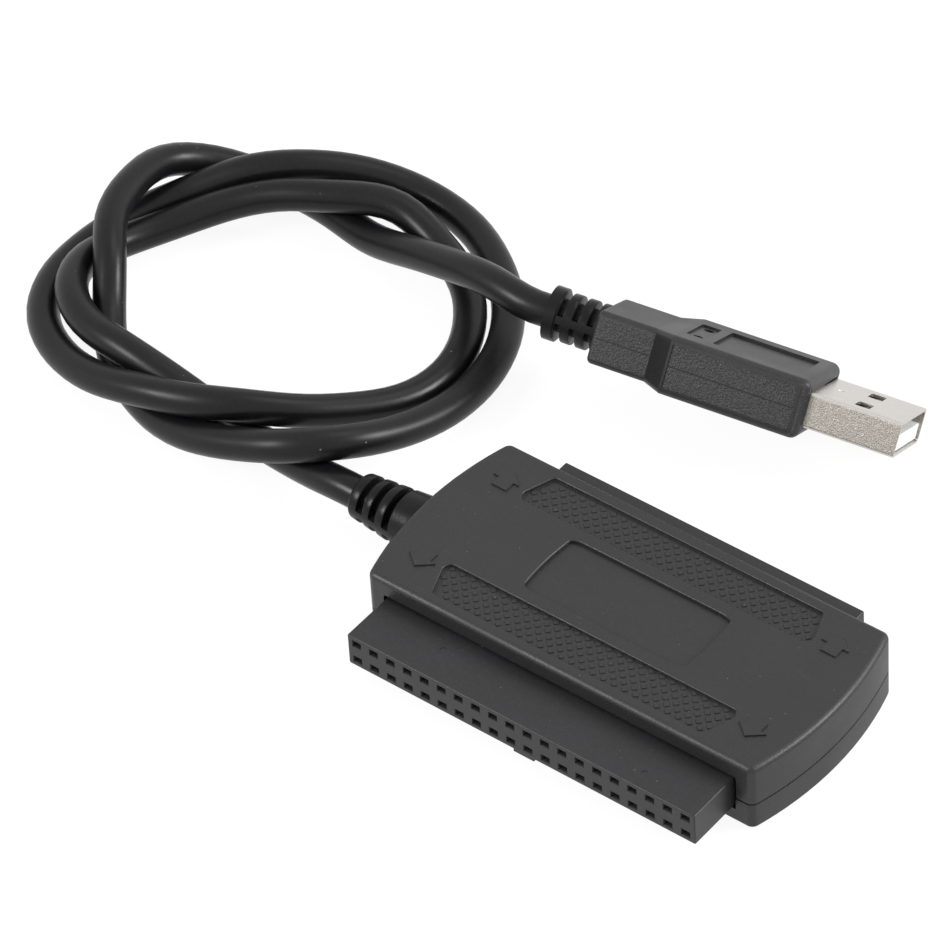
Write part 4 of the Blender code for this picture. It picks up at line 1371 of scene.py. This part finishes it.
@dataclass(frozen=True)
class SlottedBoot:
    """A round rubber boot with slots across it that leave a core and two spines."""

    root_radius: float
    end_radius: float
    length: float
    slot_offsets: tuple[float, ...]
    slot_width: float = 1.0
    core_radius: float = 2.15
    spine_half: float = 0.5
    end_round: float = 0.4
    slot_round: float = 0.12
    slot_past: float = 1.5
    rim_clear: float = 0.2

    def slot_tool(self) -> Mesh:
        """Cutter of the slots, which leaves the core and the spines.

        Returns:
            The cutter.
        """
        reach = self.root_radius + self.slot_past
        bm = bmesh.new()
        for offset in self.slot_offsets:
            for side in (-1, 1):
                low, high = sorted((side * self.spine_half, side * reach))
                add_box(
                    bm, (low, -reach, offset - self.slot_width / 2),
                    (high, reach, offset + self.slot_width / 2),
                )
        core = bmesh.new()
        place = Matrix.Translation((0.0, 0.0, -CUT_PAST))
        add_drum(core, place, self.core_radius, self.core_radius, self.length + 2 * CUT_PAST)
        return cut(bm, core)

    def build(self) -> Mesh:
        """Model the boot along its own Z, from its root.

        Returns:
            The mesh.
        """
        bm = bmesh.new()
        add_drum(bm, Matrix.Identity(4), self.root_radius, self.end_radius, self.length)
        end = edges_where(bm, lambda co: co.z > self.length - TOLERANCE)
        round_edges(bm, end, self.end_round, 4)
        bm = cut(bm, self.slot_tool())
        off_core = self.core_radius + self.rim_clear
        rims = [
            edge for edge in edges_where(bm, lambda co: co.to_2d().length > off_core, CREASE_DEG)
            if abs(edge.verts[0].co.z - edge.verts[1].co.z) < TOLERANCE
        ]
        round_edges(bm, rims, self.slot_round, 2)
        return bm


@dataclass(frozen=True)
class Lead:
    """The lead: its boot at the housing and its cord to the plug, with the route in metres."""

    boot_root_x: float = -30.57
    boot: SlottedBoot = SlottedBoot(3.94, 2.95, 9.83, (3.53, 5.73, 7.83))
    neck_radius: float = 2.9
    neck_length: float = 4.0
    neck_sunk: float = 0.2
    diameter: float = 4.3
    route_points: int = 260
    straight_end: float = 2.0
    route: tuple[Point, ...] = (
        (-0.0480, 0.0005, 0.0041), (-0.0550, 0.0015, 0.0031), (-0.0625, 0.0020, 0.0033),
        (-0.0710, 0.0020, 0.0052), (-0.0810, 0.0020, 0.0070), (-0.0860, 0.0030, 0.0067),
        (-0.0920, 0.0065, 0.0064), (-0.0955, 0.0130, 0.0052), (-0.0950, 0.0200, 0.0037),
        (-0.0915, 0.0270, 0.0038), (-0.0870, 0.0325, 0.0051), (-0.0820, 0.0360, 0.0064),
        (-0.0760, 0.0390, 0.0070), (-0.0685, 0.0425, 0.0065), (-0.0625, 0.0420, 0.0048),
        (-0.0545, 0.0385, 0.0032), (-0.0495, 0.0325, 0.0024), (-0.0475, 0.0270, 0.0022),
        (-0.0480, 0.0185, 0.0027), (-0.0515, 0.0115, 0.0043), (-0.0550, 0.0065, 0.0060),
        (-0.0605, 0.0015, 0.0078), (-0.0670, -0.0015, 0.0077), (-0.0730, -0.0025, 0.0067),
        (-0.0800, -0.0025, 0.0049), (-0.0880, -0.0005, 0.0033), (-0.0945, 0.0035, 0.0028),
        (-0.0985, 0.0100, 0.0025), (-0.0995, 0.0180, 0.0022), (-0.0980, 0.0250, 0.0026),
        (-0.0935, 0.0320, 0.0043), (-0.0885, 0.0370, 0.0064), (-0.0825, 0.0420, 0.0067),
        (-0.0765, 0.0465, 0.0052), (-0.0690, 0.0490, 0.0034), (-0.0610, 0.0480, 0.0027),
        (-0.0550, 0.0450, 0.0025), (-0.0495, 0.0405, 0.0023), (-0.0450, 0.0340, 0.0022),
        (-0.0425, 0.0255, 0.0026), (-0.0420, 0.0190, 0.0037), (-0.0430, 0.0110, 0.0057),
        (-0.0460, 0.0030, 0.0083), (-0.0505, -0.0010, 0.0084), (-0.0565, -0.0025, 0.0065),
        (-0.0625, -0.0030, 0.0046), (-0.0705, -0.0020, 0.0025), (-0.0765, 0.0, 0.0022),
        (-0.0835, 0.0040, 0.0027), (-0.0885, 0.0095, 0.0050), (-0.0915, 0.0135, 0.0078),
        (-0.0955, 0.0190, 0.0089), (-0.0975, 0.0255, 0.0086), (-0.0980, 0.0320, 0.0070),
        (-0.0935, 0.0385, 0.0040), (-0.0850, 0.0410, 0.0023), (-0.0775, 0.0405, 0.0024),
        (-0.0705, 0.0390, 0.0029), (-0.0625, 0.0375, 0.0056), (-0.0545, 0.0360, 0.0086),
        (-0.0460, 0.0345, 0.0108),
    )

    def ends(self, plug: "UsbPlug") -> tuple[list[Vector], list[Vector]]:
        """Straight ends of the cord, on the axes of the two boots, in metres.

        Args:
            plug: The plug at the far end.

        Returns:
            The two points at the housing and the two at the plug.
        """
        first = self.boot_root_x - self.boot.length - FIT_GAP
        start = [
            Vector((x, 0.0, CORD_AXIS_HEIGHT)) * MM for x in (first, first - self.straight_end)
        ]
        last = plug.boot_end_x - FIT_GAP
        along = [Vector((x, 0.0, 0.0)) for x in (last - self.straight_end, last)]
        return start, [plug.frame() @ point * MM for point in along]

    def smooth_line(self, knots: np.ndarray) -> np.ndarray:
        """Even points on the natural cubic curve through some knots.

        Args:
            knots: Points that the curve passes through.

        Returns:
            The points, no lower than the cord can lie.
        """
        chords = np.linalg.norm(np.diff(knots, axis=0), axis=1)
        at = np.concatenate(([0.0], np.cumsum(chords)))
        size = len(knots)
        system, right = np.eye(size), np.zeros((size, 3))
        for index in range(1, size - 1):
            before, after = chords[index - 1], chords[index]
            system[index, index - 1:index + 2] = before, 2 * (before + after), after
            rise = (knots[index + 1] - knots[index]) / after
            right[index] = 6 * (rise - (knots[index] - knots[index - 1]) / before)
        bend = np.linalg.solve(system, right)
        points = []
        for along in np.linspace(at[0], at[-1], self.route_points):
            index = min(int(np.searchsorted(at, along, side="right")) - 1, size - 2)
            width = chords[index]
            left, share = (at[index + 1] - along) / width, (along - at[index]) / width
            curve = (left**3 - left) * bend[index] + (share**3 - share) * bend[index + 1]
            points.append(left * knots[index] + share * knots[index + 1] + curve * width**2 / 6)
        line = np.array(points)
        line[:, 2] = np.maximum(line[:, 2], self.diameter / 2 * MM)
        return line

    def build_cord(self, plug: "UsbPlug") -> bpy.types.Object:
        """Model the cord as a curve along its route.

        Args:
            plug: The plug at the far end.

        Returns:
            The curve.
        """
        start, end = self.ends(plug)
        knots = np.array([tuple(point) for point in (*start, *map(Vector, self.route), *end)])
        line = self.smooth_line(knots)
        data = bpy.data.curves.new("usb_lead", "CURVE")
        data.dimensions = "3D"
        data.bevel_depth = self.diameter / 2 * MM
        data.bevel_resolution = 8
        data.use_fill_caps = True
        spline = data.splines.new("POLY")
        spline.points.add(len(line) - 1)
        for target, point in zip(spline.points, line):
            target.co = (*point, 1.0)
        spline.use_smooth = True
        cord = bpy.data.objects.new("usb_lead", data)
        bpy.context.scene.collection.objects.link(cord)
        return cord

    def dress_cord(self, plug: "UsbPlug") -> bpy.types.Object:
        """Build the cord and give it its finish.

        Args:
            plug: The plug at the far end.

        Returns:
            The cord.
        """
        cord = self.build_cord(plug)
        cord.data.materials.append(CORD_RUBBER.material())
        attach(cord, BODY)
        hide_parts("usb_cord")
        LOG.info("usb_lead: %d points", self.route_points)
        return cord

    def dress_boot(self, rubber: bpy.types.Material) -> None:
        """Build the housing's boot and give it its finish.

        Args:
            rubber: Material of the boot.
        """
        spot = Matrix.Translation((self.boot_root_x, 0.0, CORD_AXIS_HEIGHT))
        turn = spot @ Matrix.Rotation(math.radians(-90), 4, "Y")
        bm = self.boot.build()
        neck = bmesh.new()
        place = Matrix.Translation((0.0, 0.0, -self.neck_length))
        reach = self.neck_length + self.neck_sunk
        add_drum(neck, place, self.neck_radius, self.neck_radius, reach)
        bm = cut(bm, neck, Cut.JOIN)
        finish_piece("housing_boot", bm, [rubber], ("strain_relief",), turn)


@dataclass(frozen=True)
class UsbPlug:
    """The USB plug: grip with its boot, steel shell, springs and tongue."""

    origin: Point = (8.15, 46.19, 5.87)
    angles_deg: Point = (-32.85, 5.52, 14.10)
    shell_length: float = 11.8
    shell_half: Pair = (6.0, 2.25)
    shell_wall: float = 0.35
    shell_corner: float = 0.45
    shell_buried: float = 2.5
    window_x: float = -5.7
    window_ys: Pair = (-3.2, 2.85)
    window_size: Pair = (1.9, 2.4)
    dimple_x: float = -9.65
    dimple_radius: float = 0.55
    grip_half: Pair = (7.4, 3.8)
    grip_corner: float = 1.0
    grip_front_round: float = 1.2
    front_block: float = 18.2
    shoulder: float = 2.6
    rear_half: Pair = (5.4, 3.45)
    rear_block: float = 7.7
    rear_round: float = 0.6
    boot: SlottedBoot = SlottedBoot(3.2, 3.2, 7.2, (1.2, 3.2, 5.2), slot_width=0.75)
    boot_ring: Pair = (3.45, 1.4)
    label_start: float = 2.3
    label_length: float = 11.6
    label_half: float = 4.5
    label_depth: float = 0.4
    pins_start: float = 15.1
    pins_length: float = 2.5
    pins_half: float = 3.75
    pins_depth: float = 0.3
    pin_offset: float = 2.4
    pin_radius: float = 0.66
    side_start: float = 1.4
    side_half: float = 2.8
    side_depth: float = 0.15
    line_width: float = 0.16
    line_depth: float = 0.1
    tongue_height: float = 2.1
    tongue_set_back: float = 0.3
    fold_round: float = 0.35
    pocket_gap: float = 0.12
    pocket_past: float = 0.3
    recess_corner: float = 0.3
    side_end: float = 0.3
    side_reach: float = 0.05
    line_gaps: tuple[Pair, Pair] = ((0.5, 0.2), (0.6, 0.3))
    pin_depth: float = 2.0
    dimple_rise: float = 0.35
    window_corner: float = 0.2
    mouth_round: float = 0.08
    spring_profile: tuple[Pair, ...] = (
        (-1.6, -0.55), (-0.7, -0.7), (0.0, -0.35), (0.55, -0.3), (0.8, -0.75)
    )
    spring_width: float = 1.7
    spring_thickness: float = 0.18
    tongue_gap: Pair = (0.1, 0.05)
    tongue_round: float = 0.2

    @property
    def rear_end_x(self) -> float:
        """X of the rear block's end face."""
        return -(self.shell_length + self.front_block + self.shoulder + self.rear_block)

    @property
    def boot_end_x(self) -> float:
        """X where the cord enters the boot."""
        return self.rear_end_x - self.boot.length

    def frame(self) -> Matrix:
        """Place and turn of the plug, in millimetres."""
        turn = Euler([math.radians(value) for value in self.angles_deg]).to_matrix().to_4x4()
        return Matrix.Translation(self.origin) @ turn

    def prism(self, half: Pair, corner: float, ends: Pair, segments: int = 5) -> Mesh:
        """A rounded bar along X.

        Args:
            half: Half width and half height.
            corner: Rounding of its long edges.
            ends: X of its two ends.
            segments: Steps of each rounding.

        Returns:
            The mesh.
        """
        low, high = sorted(ends)
        bm = box((low, -half[0], -half[1]), (high, half[0], half[1]))
        long_edges = [
            edge for edge in bm.edges
            if abs(edge.verts[0].co.x - edge.verts[1].co.x) > TOLERANCE
        ]
        round_edges(bm, long_edges, corner, segments)
        return bm

    def build_grip(self) -> Mesh:
        """Model the moulded grip: front block, shoulder and rear block.

        Returns:
            The mesh.
        """
        front = -self.shell_length
        back = front - self.front_block
        bm = self.prism(self.grip_half, self.grip_corner, (back, front), 6)
        rear = next(face for face in bm.faces if face.calc_center_median().x < back + TOLERANCE)
        rear = grow_face(bm, rear, (-self.shoulder, 0.0, 0.0))
        ratio = [small / large for small, large in zip(self.rear_half, self.grip_half)]
        bmesh.ops.scale(bm, vec=(1.0, *ratio), verts=rear.verts)
        rear = grow_face(bm, rear, (-self.rear_block, 0.0, 0.0))
        round_edges(bm, list(rear.edges), self.rear_round, 4)
        nose = edges_where(bm, lambda co: co.x > front - TOLERANCE)
        round_edges(bm, nose, self.grip_front_round, 6)
        folds = edges_where(bm, lambda co: back - TOLERANCE < co.x < back + TOLERANCE, FOLD_DEG)
        round_edges(bm, folds, self.fold_round, 3)
        pocket_half = tuple(value + self.pocket_gap for value in self.shell_half)
        pocket_end = front - self.shell_buried - self.pocket_past
        pocket = self.prism(pocket_half, self.shell_corner, (front + CUT_PAST, pocket_end))
        bm = cut(bm, pocket)
        for tool in self.recess_tools():
            bm = cut(bm, tool)
        bm = cut(bm, self.part_line())
        bm.normal_update()
        for face in bm.faces:
            sideways = abs(face.normal.y)
            if sideways > SIDEWAYS and self.is_side(face):
                face.material_index = 1
            elif sideways > HALF_SIDEWAYS and self.is_neck(face):
                face.material_index = 2
        return bm

    def is_neck(self, face: Face) -> bool:
        """Whether a face lies on the shoulder between the grip's two blocks."""
        back = -self.shell_length - self.front_block
        return back - self.shoulder - TOLERANCE < face.calc_center_median().x < back + TOLERANCE

    def is_side(self, face: Face) -> bool:
        """Whether a face lies on the grained sides of the grip's two blocks.

        Args:
            face: Face to look at.

        Returns:
            True on a grained side.
        """
        middle = face.calc_center_median()
        front = -self.shell_length
        at_rear = middle.x < front - self.front_block - self.shoulder
        half = self.rear_half[0] if at_rear else self.grip_half[0] - self.side_depth
        on_side = abs(abs(middle.y) - half) < self.side_reach
        return on_side and (at_rear or middle.x > front - self.front_block)

    def mark_faces(self, bm: Mesh, test: Callable[[Face], bool]) -> None:
        """Give the faces that pass a test the piece's second material.

        Args:
            bm: Mesh that holds the faces.
            test: Says whether a face gets it.
        """
        bm.normal_update()
        for face in bm.faces:
            face.material_index = int(test(face))

    def part_line(self) -> Mesh:
        """Cutter of the thin groove where the two halves of the mould met.

        Returns:
            The cutter.
        """
        front, half = -self.shell_length, self.line_width / 2
        bm = bmesh.new()
        front_y = self.grip_half[0] - self.side_depth
        blocks = (
            (front - self.front_block, front - self.side_start, front_y),
            (self.rear_end_x, self.rear_end_x + self.rear_block, self.rear_half[0]),
        )
        for (low, high, face_y), (low_gap, high_gap) in zip(blocks, self.line_gaps):
            for side in (-1, 1):
                reach = (side * (face_y - self.line_depth), side * (face_y + CUT_PAST))
                inner, outer = sorted(reach)
                add_box(bm, (low + low_gap, inner, -half), (high - high_gap, outer, half))
        return bm

    def recess_tools(self) -> list[Mesh]:
        """Cutters of the recesses in the grip's top and sides.

        Returns:
            The cutters.
        """
        top = self.grip_half[1]
        front = -self.shell_length
        label = front - self.label_start
        pins = front - self.pins_start
        tools = [
            box((start - length, -half, top - depth), (start, half, top + CUT_PAST))
            for start, length, half, depth in (
                (label, self.label_length, self.label_half, self.label_depth),
                (pins, self.pins_length, self.pins_half, self.pins_depth),
            )
        ]
        for tool in tools:
            round_edges(tool, self.upright_edges(tool), self.recess_corner, 3)
        half = self.grip_half[0]
        for side in (-1, 1):
            low, high = sorted((side * (half - self.side_depth), side * (half + CUT_PAST)))
            tool = box(
                (front - self.front_block + self.side_end, low, -self.side_half),
                (front - self.side_start, high, self.side_half),
            )
            tools.append(tool)
        pin_x = pins - self.pins_length / 2
        for side in (-1, 1):
            tool = bmesh.new()
            bottom = top - self.pins_depth - self.pin_depth
            place = Matrix.Translation((pin_x, side * self.pin_offset, bottom))
            add_drum(tool, place, self.pin_radius, self.pin_radius, self.pin_depth + CUT_PAST, 24)
            tools.append(tool)
        return tools

    def upright_edges(self, bm: Mesh) -> list[Edge]:
        """Edges of a cutter that stand upright."""
        return [
            edge for edge in bm.edges
            if abs(edge.verts[0].co.z - edge.verts[1].co.z) > TOLERANCE
        ]

    def build_shell(self) -> Mesh:
        """Model the steel shell with its windows.

        Returns:
            The mesh.
        """
        back = -(self.shell_length + self.shell_buried)
        bm = self.prism(self.shell_half, self.shell_corner, (back, 0.0))
        inner = tuple(value - self.shell_wall for value in self.shell_half)
        bore_corner = self.shell_corner - self.shell_wall / 2
        bore = self.prism(inner, bore_corner, (back - CUT_PAST, CUT_PAST))
        bm = cut(bm, bore)
        half_x, half_y = (value / 2 for value in self.window_size)
        for y in self.window_ys:
            tool = box(
                (self.window_x - half_x, y - half_y, -self.shell_half[1] - CUT_PAST),
                (self.window_x + half_x, y + half_y, self.shell_half[1] + CUT_PAST),
            )
            round_edges(tool, self.upright_edges(tool), self.window_corner, 3)
            bm = cut(bm, tool)
        for side in (-1, 1):
            height = side * (self.shell_half[1] + self.dimple_rise)
            dimple = bmesh.new()
            bmesh.ops.create_uvsphere(
                dimple, u_segments=24, v_segments=12, radius=self.dimple_radius,
                matrix=Matrix.Translation((self.dimple_x, 0.0, height)),
            )
            bm = cut(bm, dimple)
        mouth = edges_where(bm, lambda co: co.x > -TOLERANCE, CREASE_DEG)
        round_edges(bm, mouth, self.mouth_round, 2)
        # The sides take the second material, a darker copy of the steel, which is painted shade.
        self.mark_faces(bm, lambda face: abs(face.normal.y) > SIDEWAYS)
        return bm

    def build_springs(self) -> Mesh:
        """Model the bent springs that show in the shell's windows.

        Returns:
            The mesh.
        """
        bm = bmesh.new()
        outer = self.shell_half[1]
        for face_side in (-1, 1):
            for y in self.window_ys:
                start = y - self.spring_width / 2
                verts = [
                    bm.verts.new((self.window_x + x, start, face_side * (outer + z)))
                    for x, z in self.spring_profile
                ]
                edges = [bm.edges.new(pair) for pair in zip(verts, verts[1:])]
                made = bmesh.ops.extrude_edge_only(bm, edges=edges)["geom"]
                moved = [item for item in made if isinstance(item, Vert)]
                bmesh.ops.translate(bm, vec=(0.0, self.spring_width, 0.0), verts=moved)
        bmesh.ops.recalc_face_normals(bm, faces=bm.faces)
        bmesh.ops.solidify(bm, geom=bm.faces[:], thickness=self.spring_thickness)
        return bm

    def build_tongue(self) -> Mesh:
        """Model the white tongue with a bevelled front edge.

        Returns:
            The mesh.
        """
        half_width = self.shell_half[0] - self.shell_wall - self.tongue_gap[0]
        bottom = -(self.shell_half[1] - self.shell_wall - self.tongue_gap[1])
        bm = box(
            (-(self.shell_length + self.shell_buried), -half_width, bottom),
            (-self.tongue_set_back, half_width, bottom + self.tongue_height),
        )
        limit = -self.tongue_set_back - TOLERANCE
        front = [edge for edge in bm.edges if all(vert.co.x > limit for vert in edge.verts)]
        round_edges(bm, front, self.tongue_round, 3)
        return bm

    def dress(self, rubber: bpy.types.Material) -> list[bpy.types.Object]:
        """Build the plug's pieces and give them their finish.

        Args:
            rubber: Material of the boot.

        Returns:
            The pieces.
        """
        place = self.frame()
        grip_plastics = [finish.material() for finish in (PLUG_PLASTIC, PLUG_GRAIN, PLUG_NECK)]
        grip = finish_piece(
            "plug_grip", self.build_grip(), grip_plastics, ("plug_overmould",), place
        )
        boot_bm = self.boot.build()
        ring_radius, ring_length = self.boot_ring
        ring_place = Matrix.Translation((0.0, 0.0, self.boot.length - ring_length))
        add_drum(boot_bm, ring_place, ring_radius, ring_radius, ring_length)
        shift = Matrix.Translation((self.rear_end_x, 0.0, 0.0))
        turn = shift @ Matrix.Rotation(math.radians(-90), 4, "Y")
        boot = finish_piece("plug_boot", boot_bm, [rubber], (), place @ turn)
        metals = [finish.material() for finish in (PLATED_STEEL, SHADED_SIDE_STEEL)]
        shell = finish_piece(
            "plug_case", self.build_shell(), metals, ("plug_shell",), place
        )
        springs = finish_piece(
            "plug_springs", self.build_springs(), [SPRING_STEEL.material()], (), place
        )
        tongue = finish_piece(
            "plug_insulator", self.build_tongue(), [TONGUE_PLASTIC.material()],
            ("plug_tongue",), place,
        )
        return [grip, boot, shell, springs, tongue]


@dataclass(frozen=True)
class BoardParts:
    """The CAD solids inside the housing and on the tongue, which keep their shapes."""

    finishes: dict[str, tuple[Finish, Slot]] = field(default_factory=lambda: {
        "circuit_board": (BOARD_LAMINATE, Slot.BOARD),
        "bridge_chip": (CHIP_PLASTIC, Slot.CHIP),
        "memory_chip": (CHIP_PLASTIC, Slot.CHIP),
        "regulator": (CHIP_PLASTIC, Slot.CHIP),
        "crystal": (CRYSTAL_CAN, Slot.CRYSTAL),
        **{f"capacitor_{number}": (CAPACITOR_CERAMIC, Slot.CAPACITOR) for number in range(1, 5)},
        **{f"plug_contact_{number}": (GOLD_PLATE, Slot.CONTACT) for number in range(1, 5)},
        **WIRE_FINISHES,
    })

    def dress(self) -> list[bpy.types.Object]:
        """Give each node its material.

        Returns:
            The plug's contacts.
        """
        made: dict[str, bpy.types.Material] = {}
        for name, (finish, slot) in self.finishes.items():
            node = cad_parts[name]
            if finish.name not in made:
                made[finish.name] = finish.material()
            if not node.material_slots:
                node.data.materials.append(made[finish.name])
            node.material_slots[0].material = made[finish.name]
            LOG.info("%s: %s", name, finish.name)
        return [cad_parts[f"plug_contact_{number}"] for number in range(1, 5)]


def main() -> None:
    """Build the scene."""
    logging.basicConfig(level=logging.INFO, format="%(name)s: %(message)s")
    PhotoCamera().place()
    lead, plug = Lead(), UsbPlug()
    cord = lead.dress_cord(plug)
    Studio().place()
    Housing().dress()
    socket_plastic = SOCKET_PLASTIC.material()
    for socket in SOCKETS:
        socket.dress(socket_plastic)
    rubber = BOOT_RUBBER.material()
    lead.dress_boot(rubber)
    plug_pieces = plug.dress(rubber)
    contacts = BoardParts().dress()
    start = lead.ends(plug)[0][0]


if __name__ == "__main__":
    main()
